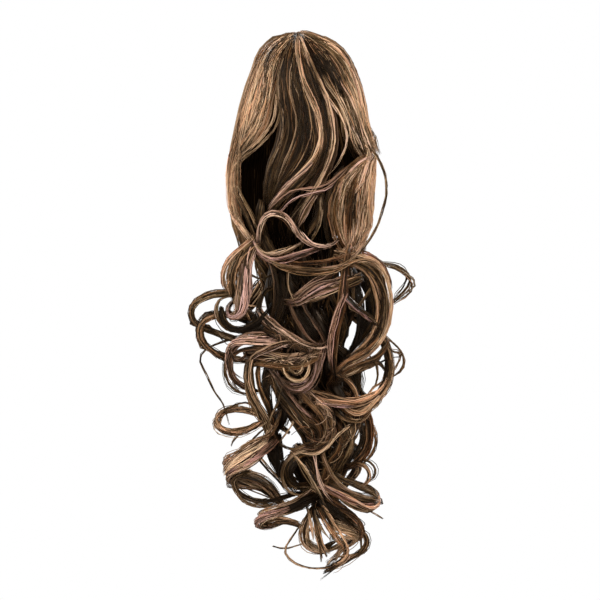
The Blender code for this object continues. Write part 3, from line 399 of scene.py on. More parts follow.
LOW_LOCKS = (
    Charted("right_lower_edge", 15, 12, 0.40, 0.6, 0.0, (
        (338, 392, 14), (356, 402, 16), (366, 416, 17), (368, 432, 17), (366, 447, 18), (357, 461, 18),
        (338, 472, 14))),
    Charted("lower_right_mass", 19, 11, 0.46, 0.3, 0.0, (
        (356, 404, 28), (355, 421, 37), (348, 435, 44), (340, 449, 45), (332, 463, 43), (325, 478, 38),
        (322, 492, 28))),
    Charted("lower_strip", 8, 6, 0.42, 0.2, 0.0, (
        (294, 444, 30), (300, 455, 37), (308, 466, 40), (315, 479, 40), (321, 491, 36), (332, 502, 28))),
    Charted("lower_ball", 16, 10, 0.50, 0.2, 0.0, (
        (322, 444, 26), (308, 446, 33), (295, 453, 37), (288, 466, 37), (290, 479, 35), (301, 487, 31),
        (316, 486, 24))),
    Charted("lower_left_dark", 22, 10, 0.12, 0.1, 0.0, (
        (276, 416, 22), (271, 430, 24), (270, 445, 24), (274, 459, 22), (283, 474, 18), (299, 488, 12))),
    Charted("ball_fill", 19, 10, 0.22, 0.5, 0.0, (
        (304, 444, 22), (300, 457, 25), (300, 470, 26), (306, 484, 22))),
    Charted("left_ribbon", 24, 6, 0.68, 0.2, 0.1, (
        (276, 410, 30), (274, 424, 36), (266, 438, 42), (252, 450, 46), (237, 460, 42), (228, 468, 30),
        (230, 474, 15), (243, 478, 5), (258, 484, 1), (270, 492, 3), (280, 502, 8), (294, 508, 10),
        (310, 500, 8))),
    Charted("left_low_ring", 8, 5, 0.30, 0.1, 0.0, (
        (250, 470, 26), (238, 473, 24), (234, 482, 23), (238, 491, 22), (248, 498, 20), (262, 501, 18),
        (278, 499, 16), (294, 494, 12), (312, 490, 8))),
    Charted("right_low_ribbon", 13, 6, 0.56, 0.2, 0.0, (
        (310, 474, 24), (322, 482, 34), (336, 489, 41), (352, 495, 43), (366, 500, 37), (375, 499, 26),
        (374, 491, 14), (362, 486, 6), (348, 482, 4), (334, 478, 2))),
    Charted("right_low_return", 9, 5, 0.42, 0.1, 0.0, (
        (330, 488, 26), (344, 499, 33), (358, 506, 35), (369, 509, 29), (374, 505, 19), (366, 499, 10),
        (350, 494, 4))),
)
TIP_LOCKS = (
    Charted("low_hook", 14, 7, 0.60, 0.2, 0.0, (
        (318, 492, 12), (306, 499, 22), (292, 506, 29), (277, 511, 32), (265, 516, 29), (261, 521, 19),
        (268, 523, 10), (282, 521, 6), (297, 524, 6), (310, 530, 8), (322, 524, 8))),
    Charted("tip_ring", 10, 5, 0.44, 0.2, 0.0, (
        (318, 500, 14), (311, 512, 17), (306, 525, 18), (305, 538, 17), (311, 548, 13), (323, 551, 8),
        (336, 547, 4), (348, 540, 0), (352, 528, -4))),
    Charted("tip_middle", 20, 10, 0.34, 0.2, 0.0, (
        (322, 486, 4), (328, 504, 5), (332, 522, 5), (334, 540, 3))),
    Charted("tip_fill", 19, 8, 0.16, 0.3, 0.0, (
        (316, 490, 8), (330, 503, 12), (344, 515, 12), (354, 528, 6), (352, 540, -2))),
    Charted("tip_straight", 7, 5, 0.50, 0.2, 0.0, (
        (316, 494, 18), (313, 508, 22), (317, 525, 24), (321, 542, 22), (327, 556, 18))),
    Charted("tip_flat", 19, 6, 0.50, 0.3, 0.0, (
        (318, 494, 6), (330, 508, 12), (343, 518, 16), (355, 524, 16), (361, 531, 7), (355, 537, -4),
        (344, 543, -9), (346, 554, -8), (338, 563, -5), (327, 567, -3))),
    Charted("tip_tendril", 6, 4.5, 0.46, 0.2, 0.0, (
        (346, 520, 18), (358, 528, 20), (366, 537, 17), (365, 546, 13), (354, 555, 9), (341, 564, 5),
        (330, 570, 2), (323, 574, 0))),
)

# Fine curls over the tail's main locks
FINE_LEFT_CURLS = (
    Charted("bulge_ribbon", 10, 5, 0.66, 0.1, 0.6, (
        (256, 246, 34), (251, 258, 43), (248, 271, 51), (248, 286, 57), (247, 301, 58), (243, 313, 56),
        (235, 319, 50), (228, 315, 42), (229, 307, 34))),
    Charted("bulge_outer", 9, 5, 0.72, 0.3, 0.1, (
        (252, 240, 40), (240, 250, 42), (229, 260, 42), (223, 273, 40), (224, 286, 36), (231, 296, 30))),
    Charted("bulge_dark", 5, 3, 0.16, 0.2, 0.0, (
        (244, 250, 46), (237, 262, 48), (233, 276, 48), (232, 290, 44), (235, 304, 38))),
    Charted("ring_upper", 4, 3, 0.40, 0.1, 0.1, (
        (246, 292, 28), (230, 292, 32), (214, 291, 37), (200, 297, 42), (191, 307, 42), (191, 318, 38),
        (198, 326, 32), (210, 331, 28), (224, 337, 28))),
    Charted("ring_inner_thin", 2.5, 2, 0.56, 0.0, 0.1, (
        (240, 296, 30), (228, 296, 34), (219, 301, 38), (216, 311, 40), (219, 321, 40), (227, 329, 38),
        (238, 333, 36))),
    Charted("wedge_golden", 7, 4, 0.54, 0.4, 0.0, (
        (232, 312, 30), (220, 315, 34), (208, 319, 38), (200, 326, 40), (200, 336, 38), (206, 346, 34),
        (216, 354, 28), (228, 360, 24))),
    Charted("bowl_dark", 9, 6, 0.10, 0.0, 0.0, (
        (222, 306, 40), (223, 318, 43), (231, 327, 46), (244, 329, 48), (256, 324, 48), (266, 314, 44),
        (272, 302, 38))),
    Charted("bowl_dark_low", 8, 6, 0.12, 0.1, 0.0, (
        (236, 330, 40), (250, 332, 44), (264, 328, 47), (276, 320, 46))),
    Charted("pink_shelf", 10, 4, 0.72, 0.0, 0.45, (
        (290, 343, 52), (274, 342, 54), (258, 341, 55), (242, 341, 54), (231, 345, 50), (227, 355, 44),
        (228, 367, 38), (234, 379, 32), (244, 386, 28))),
    Charted("pink_shelf_under", 5, 3, 0.50, 0.3, 0.4, (
        (282, 350, 50), (266, 347, 53), (250, 348, 53), (238, 351, 50), (231, 360, 45), (231, 372, 38),
        (238, 383, 32), (250, 392, 28))),
    Charted("shelf_small_curl", 3, 2.5, 0.66, 0.1, 0.4, (
        (230, 344, 50), (232, 353, 52), (238, 360, 52), (245, 356, 50), (248, 348, 46))),
    Charted("low_ring_pair", 4, 3, 0.46, 0.1, 0.0, (
        (232, 350, 42), (226, 362, 40), (226, 375, 36), (232, 387, 32), (243, 393, 30), (256, 396, 30))),
    Charted("run_light", 4, 3, 0.66, 0.2, 0.1, (
        (254, 352, 46), (250, 368, 48), (250, 384, 50), (256, 398, 50), (264, 411, 48), (271, 425, 44),
        (276, 440, 38))),
    Charted("run_brown", 6, 4, 0.42, 0.4, 0.0, (
        (262, 354, 44), (258, 370, 47), (259, 386, 49), (265, 400, 49), (271, 414, 46), (275, 430, 42))),
    Charted("run_dark", 9, 5, 0.08, 0.1, 0.0, (
        (272, 366, 40), (268, 382, 44), (269, 398, 45), (272, 414, 42), (275, 430, 36))),
    Charted("run_crossing", 2.5, 2, 0.70, 0.0, 0.1, (
        (284, 380, 54), (281, 396, 54), (274, 410, 52), (269, 426, 48), (268, 440, 44))),
    Charted("flat_ring_front", 6, 3, 0.72, 0.3, 0.1, (
        (226, 412, 9), (217, 418, 18), (218, 427, 31), (227, 432, 40), (240, 433, 43), (254, 427, 43),
        (268, 418, 42), (280, 407, 38))),
    Charted("flat_ring_low", 4, 2.5, 0.46, 0.5, 0.0, (
        (219, 416, 14), (219, 425, 28), (229, 431, 37), (242, 430, 40), (257, 423, 40), (271, 413, 38))),
    Charted("flat_ring_back", 4, 2.5, 0.28, 0.0, 0.0, (
        (272, 420, 14), (258, 412, 8), (244, 408, 4), (230, 408, 6), (219, 413, 14), (213, 421, 22))),
)
FINE_CENTRE_CURLS = (
    Charted("cross_ribbon_pink", 11, 4, 0.73, 0.1, 0.5, (
        (348, 276, 56), (336, 284, 62), (322, 289, 65), (308, 296, 65), (296, 303, 62), (286, 303, 54))),
    Charted("cross_ribbon_light", 6, 3, 0.76, 0.1, 0.35, (
        (340, 268, 54), (328, 276, 60), (314, 283, 62), (300, 293, 62), (290, 299, 58))),
    Charted("neck_band_pink", 9, 4, 0.60, 0.1, 0.6, (
        (252, 240, 36), (259, 253, 44), (270, 261, 54), (285, 261, 61), (300, 256, 65), (314, 251, 66),
        (327, 248, 62))),
    Charted("neck_band_grey", 5, 3, 0.58, 0.0, 0.2, (
        (256, 246, 44), (264, 254, 52), (276, 255, 59), (290, 250, 63), (302, 243, 63))),
    Charted("neck_sweep_light", 4, 2.5, 0.76, 0.2, 0.1, (
        (256, 244, 40), (264, 257, 50), (277, 265, 60), (292, 268, 66), (308, 270, 69), (324, 270, 70),
        (340, 266, 68), (354, 257, 62), (364, 244, 54))),
    Charted("neck_sweep_golden", 5, 3, 0.66, 0.4, 0.0, (
        (268, 258, 50), (282, 268, 60), (298, 272, 65), (316, 273, 67), (334, 270, 67), (350, 263, 64),
        (366, 260, 58), (380, 266, 50))),
    Charted("neck_sweep_copper", 4, 3, 0.46, 0.8, 0.1, (
        (274, 254, 54), (288, 262, 61), (304, 264, 65), (320, 263, 66), (336, 259, 64), (350, 253, 60))),
    Charted("neck_strands_left", 6, 4, 0.50, 0.2, 0.1, (
        (266, 250, 40), (272, 264, 46), (276, 280, 50), (277, 298, 50), (273, 314, 46), (268, 328, 40))),
    Charted("neck_strand_thin", 2, 2, 0.72, 0.0, 0.2, (
        (292, 256, 56), (288, 270, 58), (288, 284, 60), (292, 298, 62), (298, 308, 62))),
    Charted("trunk_dark", 11, 7, 0.14, 0.2, 0.0, (
        (282, 252, 40), (284, 272, 44), (284, 292, 46), (280, 312, 46), (274, 330, 42))),
    Charted("lilac_strands_left", 4, 3, 0.54, 0.0, 0.5, (
        (290, 304, 56), (294, 316, 60), (301, 328, 62), (310, 339, 62), (322, 346, 58))),
    Charted("lilac_strands_right", 4, 3, 0.48, 0.0, 0.5, (
        (302, 302, 58), (308, 313, 62), (316, 324, 64), (322, 335, 62), (326, 347, 56))),
    Charted("lilac_dark", 10, 6, 0.14, 0.1, 0.2, (
        (296, 306, 50), (302, 318, 54), (311, 330, 56), (319, 342, 54))),
    Charted("swirl_light", 5, 4, 0.80, 0.0, 0.2, (
        (264, 316, 46), (273, 325, 55), (283, 333, 62), (295, 341, 65), (308, 347, 65), (322, 349, 60),
        (334, 344, 52))),
    Charted("swirl_brown", 5, 4, 0.50, 0.5, 0.1, (
        (264, 330, 50), (276, 336, 58), (288, 343, 63), (302, 350, 64), (316, 354, 60))),
    Charted("nest_top", 6, 4, 0.66, 0.1, 0.2, (
        (248, 362, 42), (256, 354, 50), (268, 348, 58), (281, 343, 62), (294, 341, 63), (308, 345, 62))),
    Charted("nest_brown", 7, 4, 0.44, 0.5, 0.0, (
        (254, 364, 46), (268, 364, 56), (282, 366, 63), (297, 367, 66), (311, 362, 64), (322, 354, 58))),
    Charted("nest_olive", 5, 4, 0.56, 0.0, 0.0, (
        (280, 356, 58), (283, 368, 63), (291, 378, 66), (301, 380, 67), (308, 372, 66), (308, 361, 62),
        (300, 354, 58))),
    Charted("nest_olive_inner", 3, 3, 0.70, 0.0, 0.0, (
        (288, 360, 62), (290, 369, 66), (297, 373, 68), (303, 368, 68), (301, 361, 65))),
    Charted("bowl_pink", 6, 4, 0.68, 0.0, 0.55, (
        (324, 346, 52), (320, 360, 60), (316, 374, 65), (309, 386, 67), (299, 391, 67), (288, 388, 65),
        (279, 379, 60), (271, 367, 52))),
    Charted("vertical_light", 6, 3, 0.66, 0.3, 0.4, (
        (344, 294, 64), (339, 306, 66), (334, 320, 66), (330, 336, 64), (329, 352, 62), (331, 368, 56))),
    Charted("vertical_copper", 7, 4, 0.48, 0.7, 0.1, (
        (347, 262, 56), (345, 278, 60), (345, 294, 62), (342, 310, 63), (337, 326, 62), (335, 342, 60),
        (335, 358, 56))),
    Charted("lower_band_pink", 5, 4, 0.70, 0.2, 0.5, (
        (284, 380, 56), (290, 392, 60), (298, 403, 60), (308, 413, 56), (318, 424, 50))),
    Charted("lower_band_brown", 6, 4, 0.46, 0.4, 0.0, (
        (296, 384, 54), (304, 396, 58), (313, 406, 60), (322, 416, 59), (328, 429, 57), (324, 441, 53),
        (312, 449, 48))),
    Charted("lower_curl_light", 4, 3, 0.76, 0.2, 0.1, (
        (306, 390, 50), (317, 398, 57), (327, 409, 60), (333, 422, 60), (332, 436, 57), (324, 447, 53),
        (311, 452, 48), (300, 449, 42))),
    Charted("lower_curl_copper", 8, 5, 0.36, 0.7, 0.0, (
        (308, 414, 50), (317, 423, 54), (321, 434, 54), (315, 443, 50), (304, 444, 44))),
    Charted("lower_cross_thin", 2, 2, 0.78, 0.0, 0.0, (
        (300, 452, 46), (314, 453, 52), (326, 447, 56), (335, 436, 56), (345, 427, 52), (355, 421, 44))),
    Charted("gap_strand", 2, 2, 0.62, 0.0, 0.1, (
        (300, 400, 46), (297, 412, 44), (292, 424, 40), (285, 434, 38), (278, 443, 36))),
    Charted("gap_strand_low", 2.5, 2, 0.60, 0.0, 0.1, (
        (274, 438, 38), (283, 445, 40), (294, 448, 42), (306, 446, 42))),
)
FINE_RIGHT_CURLS = (
    Charted("main_light", 7, 4, 0.80, 0.3, 0.0, (
        (350, 254, 50), (364, 257, 52), (377, 264, 50), (386, 277, 46), (390, 293, 40), (391, 309, 36),
        (388, 325, 34), (382, 339, 36), (372, 351, 40), (358, 360, 42), (342, 368, 44))),
    Charted("main_dark", 3, 3, 0.16, 0.4, 0.0, (
        (360, 264, 50), (372, 272, 50), (379, 286, 46), (382, 302, 42), (381, 318, 40), (377, 332, 40),
        (368, 345, 42), (356, 354, 42))),
    Charted("main_inner", 5, 4, 0.60, 0.5, 0.0, (
        (346, 262, 48), (360, 268, 50), (370, 279, 48), (375, 294, 44), (377, 310, 42), (375, 325, 42),
        (369, 338, 44), (358, 349, 46), (346, 357, 46))),
    Charted("main_copper_top", 5, 3, 0.46, 0.7, 0.4, (
        (360, 252, 46), (372, 257, 48), (382, 265, 44), (388, 277, 38), (391, 290, 32))),
    Charted("main_fan_low", 6, 4, 0.64, 0.2, 0.1, (
        (386, 318, 30), (382, 334, 34), (374, 347, 40), (363, 357, 44), (350, 364, 48), (338, 372, 50))),
    Charted("main_fan_brown", 8, 5, 0.42, 0.6, 0.0, (
        (378, 338, 36), (368, 350, 42), (356, 358, 46), (344, 364, 48), (334, 374, 48), (326, 386, 46))),
    Charted("interior_dark", 13, 7, 0.10, 0.1, 0.0, (
        (350, 262, 38), (354, 280, 42), (358, 298, 43), (360, 316, 42), (359, 332, 40), (353, 347, 38),
        (344, 359, 34))),
    Charted("interior_grey", 3, 2.5, 0.52, 0.0, 0.1, (
        (350, 268, 48), (352, 282, 51), (353, 296, 51), (351, 310, 48))),
    Charted("interior_cross", 2.5, 2, 0.44, 0.0, 0.1, (
        (370, 288, 44), (364, 298, 48), (357, 307, 50), (348, 313, 50))),
    Charted("diagonal_pink", 4, 3, 0.76, 0.1, 0.6, (
        (340, 292, 60), (346, 301, 63), (354, 309, 63), (363, 316, 59), (372, 323, 50))),
    Charted("ring_rim", 5, 4, 0.62, 0.3, 0.0, (
        (374, 324, 28), (384, 338, 26), (390, 353, 22), (391, 369, 19), (388, 384, 21), (381, 396, 29),
        (369, 405, 38), (354, 411, 44))),
    Charted("ring_rim_dark", 4, 3, 0.20, 0.4, 0.0, (
        (378, 336, 26), (384, 350, 24), (386, 366, 20), (384, 381, 20), (376, 393, 28), (365, 402, 38))),
    Charted("ring_thin", 1.8, 1.6, 0.40, 0.0, 0.0, (
        (366, 352, 38), (374, 361, 36), (377, 373, 32), (374, 386, 32), (367, 394, 36))),
    Charted("ring_top_fuzz", 13, 6, 0.50, 0.3, 0.1, (
        (388, 340, 24), (380, 354, 30), (368, 363, 36), (354, 369, 42), (340, 378, 44), (330, 388, 44))),
    Charted("ring_low_curl", 5, 4, 0.50, 0.4, 0.0, (
        (332, 372, 46), (343, 376, 50), (352, 384, 50), (357, 396, 48), (352, 408, 44), (342, 414, 38))),
    Charted("band_golden", 6, 3, 0.84, 0.5, 0.1, (
        (310, 396, 50), (324, 400, 56), (339, 402, 59), (354, 402, 57), (369, 397, 50), (381, 388, 40),
        (388, 376, 30))),
    Charted("band_pink", 3, 2, 0.80, 0.1, 0.7, (
        (316, 402, 56), (328, 404, 60), (341, 405, 61), (354, 406, 58))),
    Charted("band_fan", 7, 4, 0.68, 0.5, 0.0, (
        (342, 406, 52), (352, 412, 54), (362, 412, 50), (371, 405, 42), (380, 395, 34))),
    Charted("band_fan_low", 5, 4, 0.56, 0.4, 0.0, (
        (336, 410, 48), (346, 418, 52), (357, 420, 50), (367, 414, 42), (374, 404, 34))),
)
FINE_LOW_CURLS = (
    Charted("edge_copper", 4, 4, 0.52, 0.9, 0.1, (
        (362, 402, 26), (369, 414, 26), (372, 428, 25), (371, 442, 25), (366, 455, 25), (357, 466, 24))),
    Charted("edge_rim", 3, 3, 0.64, 0.4, 0.0, (
        (364, 412, 22), (372, 425, 22), (376, 438, 21), (373, 451, 20), (365, 461, 20), (355, 468, 20))),
    Charted("edge_inner_dark", 6, 5, 0.12, 0.2, 0.0, (
        (352, 410, 32), (360, 423, 34), (362, 437, 34), (356, 451, 34), (348, 464, 34))),
    Charted("mass_olive", 5, 4, 0.52, 0.0, 0.0, (
        (348, 420, 44), (352, 434, 48), (350, 448, 50), (343, 461, 49), (334, 474, 44))),
    Charted("mass_brown", 6, 4, 0.38, 0.5, 0.0, (
        (338, 420, 44), (342, 434, 50), (338, 448, 52), (330, 460, 50), (324, 474, 46), (322, 488, 38))),
    Charted("mass_light", 4, 3, 0.72, 0.1, 0.3, (
        (314, 450, 46), (316, 464, 50), (319, 478, 50), (325, 491, 46), (334, 502, 38))),
    Charted("mass_light_right", 4, 3, 0.70, 0.2, 0.1, (
        (322, 448, 48), (326, 462, 52), (333, 475, 52), (343, 485, 50), (355, 492, 44), (367, 496, 36))),
    Charted("ball_rim", 4, 3, 0.68, 0.2, 0.1, (
        (306, 446, 42), (293, 452, 46), (284, 463, 46), (282, 477, 44), (288, 489, 40), (299, 494, 36),
        (310, 490, 32))),
    Charted("ball_light", 3, 2.5, 0.82, 0.0, 0.0, (
        (290, 450, 46), (299, 458, 48), (306, 468, 48), (312, 479, 47), (318, 490, 42), (324, 500, 36))),
    Charted("ball_brown", 7, 5, 0.36, 0.5, 0.0, (
        (304, 456, 42), (294, 463, 45), (291, 474, 45), (298, 483, 42), (309, 482, 38))),
    Charted("ribbon_light", 10, 3, 0.82, 0.2, 0.1, (
        (274, 424, 42), (265, 438, 48), (250, 449, 50), (236, 458, 47), (227, 467, 38), (224, 474, 27))),
    Charted("ribbon_mauve", 9, 3, 0.66, 0.3, 0.6, (
        (278, 438, 42), (262, 451, 48), (245, 461, 47), (232, 469, 40), (226, 475, 30))),
    Charted("ribbon_return_light", 3.5, 2.5, 0.62, 0.2, 0.0, (
        (232, 473, 26), (244, 471, 20), (256, 474, 14), (267, 480, 11), (277, 490, 12), (283, 501, 16))),
    Charted("ribbon_return_dark", 7, 4, 0.24, 0.3, 0.0, (
        (232, 476, 18), (246, 477, 10), (260, 481, 6), (272, 488, 6), (281, 498, 8))),
    Charted("low_ring_rim", 4, 3, 0.34, 0.0, 0.1, (
        (244, 474, 30), (233, 479, 28), (235, 489, 27), (243, 499, 25), (256, 505, 23), (270, 505, 21),
        (284, 498, 18))),
    Charted("gap_pair_dark", 2, 2, 0.14, 0.0, 0.0, (
        (254, 450, 42), (260, 460, 40), (268, 469, 38), (277, 478, 36), (286, 488, 34), (296, 497, 32))),
    Charted("gap_pair_light", 2, 2, 0.78, 0.0, 0.0, (
        (256, 448, 43), (263, 459, 42), (272, 469, 40), (281, 479, 38), (289, 491, 35))),
    Charted("low_ribbon_golden", 7, 4, 0.76, 0.4, 0.1, (
        (314, 480, 36), (327, 487, 44), (341, 494, 49), (355, 501, 48), (368, 507, 41), (377, 505, 30),
        (378, 495, 20), (369, 486, 12))),
    Charted("low_ribbon_pink", 4, 3, 0.72, 0.3, 0.6, (
        (320, 484, 44), (334, 491, 50), (348, 498, 51), (362, 503, 46), (374, 503, 36))),
    Charted("low_ribbon_olive", 5, 3, 0.58, 0.0, 0.0, (
        (336, 474, 46), (348, 481, 50), (361, 486, 46), (372, 491, 38), (379, 499, 28))),
    Charted("small_curl", 5, 4, 0.50, 0.4, 0.0, (
        (356, 462, 30), (364, 464, 33), (369, 472, 32), (367, 481, 29), (359, 486, 26))),
    Charted("low_dark_left", 11, 6, 0.08, 0.1, 0.0, (
        (278, 432, 30), (278, 448, 32), (280, 464, 32), (286, 480, 30), (298, 494, 26))),
)
FINE_TIP_CURLS = (
    Charted("hook_dark", 9, 5, 0.10, 0.2, 0.0, (
        (322, 492, 24), (311, 498, 31), (299, 503, 34), (287, 508, 35), (276, 511, 35))),
    Charted("hook_pink", 7, 3, 0.76, 0.1, 0.5, (
        (290, 506, 38), (278, 511, 38), (267, 514, 36), (258, 518, 31), (256, 524, 22), (264, 527, 14),
        (276, 526, 10))),
    Charted("hook_golden", 4, 3, 0.66, 0.6, 0.0, (
        (268, 524, 16), (279, 521, 14), (290, 521, 14), (301, 525, 14), (310, 532, 14))),
    Charted("hook_light", 3, 2, 0.74, 0.0, 0.2, (
        (310, 490, 34), (300, 496, 38), (290, 501, 40), (280, 504, 40), (270, 506, 38))),
    Charted("right_reddish", 7, 5, 0.44, 0.7, 0.1, (
        (326, 496, 34), (338, 504, 38), (350, 512, 38), (359, 521, 34), (363, 531, 28), (359, 540, 20))),
    Charted("right_dark", 8, 6, 0.10, 0.2, 0.0, (
        (320, 498, 28), (331, 506, 32), (342, 515, 33), (352, 525, 29))),
    Charted("middle_light", 4, 3, 0.72, 0.3, 0.1, (
        (322, 504, 30), (329, 516, 32), (337, 528, 31), (344, 540, 26), (348, 552, 18), (342, 561, 12),
        (332, 566, 8))),
    Charted("middle_brown", 7, 4, 0.46, 0.5, 0.0, (
        (318, 508, 26), (325, 520, 28), (333, 532, 27), (341, 543, 22), (345, 554, 14))),
    Charted("tip_wide", 14, 4, 0.60, 0.2, 0.0, (
        (334, 524, 24), (346, 529, 24), (357, 534, 20), (351, 541, 12), (342, 548, 6), (336, 557, 2),
        (326, 564, 0))),
    Charted("ring_light", 4, 3, 0.60, 0.2, 0.1, (
        (312, 506, 22), (305, 519, 24), (301, 532, 24), (304, 544, 20), (313, 551, 15), (325, 552, 11),
        (336, 547, 8))),
    Charted("ring_dark", 5, 4, 0.24, 0.1, 0.0, (
        (306, 538, 22), (315, 545, 17), (327, 546, 11), (337, 540, 7))),
    Charted("straight_light", 3, 2.5, 0.74, 0.2, 0.1, (
        (306, 504, 24), (309, 516, 27), (312, 528, 28), (313, 540, 26))),
    Charted("straight_thin", 1.8, 1.5, 0.30, 0.0, 0.0, (
        (314, 506, 24), (318, 520, 27), (324, 531, 27), (331, 540, 25))),
    Charted("tendril_dark", 4, 3, 0.30, 0.1, 0.0, (
        (350, 522, 24), (361, 529, 25), (368, 539, 22), (366, 548, 18), (356, 556, 14), (344, 562, 10))),
    Charted("end_wisp", 3, 2, 0.72, 0.1, 0.1, (
        (350, 556, 12), (341, 563, 8), (331, 568, 5), (323, 572, 3))),
    Charted("end_wisp_low", 2, 1.5, 0.62, 0.0, 0.1, (
        (346, 558, 8), (337, 567, 5), (328, 573, 3))),
)

# A tendril is a few hairs that leave the mass on their own.
TENDRILS = (
    Charted("right_long", 2.4, 1.6, 0.42, 0.1, 0.0, (
        (370, 148, 30), (378, 160, 32), (383, 170, 34), (386, 185, 36), (385, 200, 38), (381, 215, 40),
        (376, 228, 42), (369, 240, 46), (362, 250, 50), (350, 262, 54), (340, 268, 56), (325, 268, 55),
        (310, 262, 50))),
    Charted("left_kinked", 2.0, 1.4, 0.36, 0.0, 0.0, (
        (236, 338, 22), (225, 341, 26), (212, 346, 30), (204, 351, 31), (200, 358, 30), (203, 366, 28),
        (209, 378, 26), (214, 389, 25), (216, 393, 25), (221, 399, 24), (225, 408, 22), (228, 418, 20),
        (230, 425, 18))),
    Charted("left_fork", 1.6, 1.2, 0.36, 0.0, 0.0, (
        (244, 428, 30), (238, 434, 30), (233, 440, 28), (231, 446, 26))),
    Charted("left_fork_inner", 1.6, 1.2, 0.36, 0.0, 0.0, (
        (264, 428, 34), (257, 434, 34), (252, 440, 32), (247, 447, 30))),
    Charted("left_small_arc", 2.2, 1.6, 0.30, 0.0, 0.0, (
        (247, 272, 40), (255, 277, 41), (262, 279, 40), (270, 276, 38), (278, 270, 36))),
    Charted("tip_sweep", 2.6, 1.8, 0.40, 0.1, 0.0, (
        (300, 526, 6), (292, 537, 8), (286, 545, 9), (285, 552, 10), (290, 559, 10), (300, 565, 8),
        (315, 568, 6), (330, 567, 4), (340, 565, 2))),
    Charted("tip_cross", 1.6, 1.2, 0.36, 0.0, 0.0, (
        (272, 545, 8), (285, 548, 9), (297, 545, 10), (303, 543, 10), (312, 538, 10))),
    Charted("right_low_wisp", 2.0, 1.4, 0.36, 0.1, 0.0, (
        (358, 458, 20), (368, 460, 20), (375, 468, 19), (374, 476, 17), (366, 482, 14))),
    Charted("right_tip_wisp", 1.6, 1.2, 0.40, 0.1, 0.0, (
        (366, 508, 24), (375, 513, 24), (383, 518, 23))),
)

# A ringlet winds round a straight line: where it starts and ends, its coil radius, turns and first angle.
Ringlet = namedtuple("Ringlet", "name width thickness shade copper rose start end radius turns angle")
BACK_RINGLETS = (
    Ringlet("back_far_left", 16, 10, 0.52, 0.2, 0.0, (260, 244, -8), (254, 342, -24), 12, 1.4, 200),
    Ringlet("back_left", 18, 11, 0.58, 0.1, 0.2, (278, 240, -20), (280, 404, -36), 14, 1.9, 120),
    Ringlet("back_middle", 18, 11, 0.62, 0.2, 0.0, (303, 240, -22), (314, 482, -34), 14, 2.7, 250),
    Ringlet("back_right", 18, 11, 0.54, 0.3, 0.0, (328, 240, -20), (344, 450, -34), 14, 2.3, 80),
    Ringlet("back_far_right", 16, 10, 0.60, 0.1, 0.1, (350, 242, -14), (362, 400, -26), 13, 2.0, 300),
    Ringlet("back_low_right", 14, 9, 0.50, 0.2, 0.0, (344, 396, -16), (350, 494, -18), 11, 1.3, 40),
    Ringlet("back_mid_left", 14, 9, 0.44, 0.2, 0.0, (290, 242, -22), (300, 416, -34), 13, 2.3, 330),
    Ringlet("back_mid_right", 14, 9, 0.46, 0.1, 0.1, (316, 242, -22), (328, 470, -34), 12, 2.9, 160),
    Ringlet("back_low_left", 13, 8, 0.56, 0.2, 0.0, (306, 380, -24), (316, 492, -22), 11, 1.5, 20),
)
UNDER_RINGLETS = (
    Ringlet("under_far_left", 16, 10, 0.24, 0.1, 0.0, (276, 240, 22), (270, 400, 20), 7, 1.7, 0),
    Ringlet("under_left", 16, 10, 0.28, 0.1, 0.1, (288, 240, 34), (292, 412, 34), 9, 2.1, 90),
    Ringlet("under_centre_left", 16, 10, 0.30, 0.2, 0.0, (302, 240, 38), (314, 456, 34), 9, 2.5, 200),
    Ringlet("under_centre_right", 16, 10, 0.26, 0.2, 0.0, (318, 240, 38), (326, 480, 32), 10, 2.6, 310),
    Ringlet("under_right", 16, 10, 0.30, 0.1, 0.0, (332, 240, 32), (340, 460, 26), 9, 2.3, 60),
    Ringlet("under_far_right", 16, 10, 0.24, 0.2, 0.0, (344, 242, 18), (348, 440, 14), 8, 2.0, 150),
)
POINTS_PER_TURN = 8
RINGLET_ROOT = 0.35
RINGLET_OPENING = 1.3
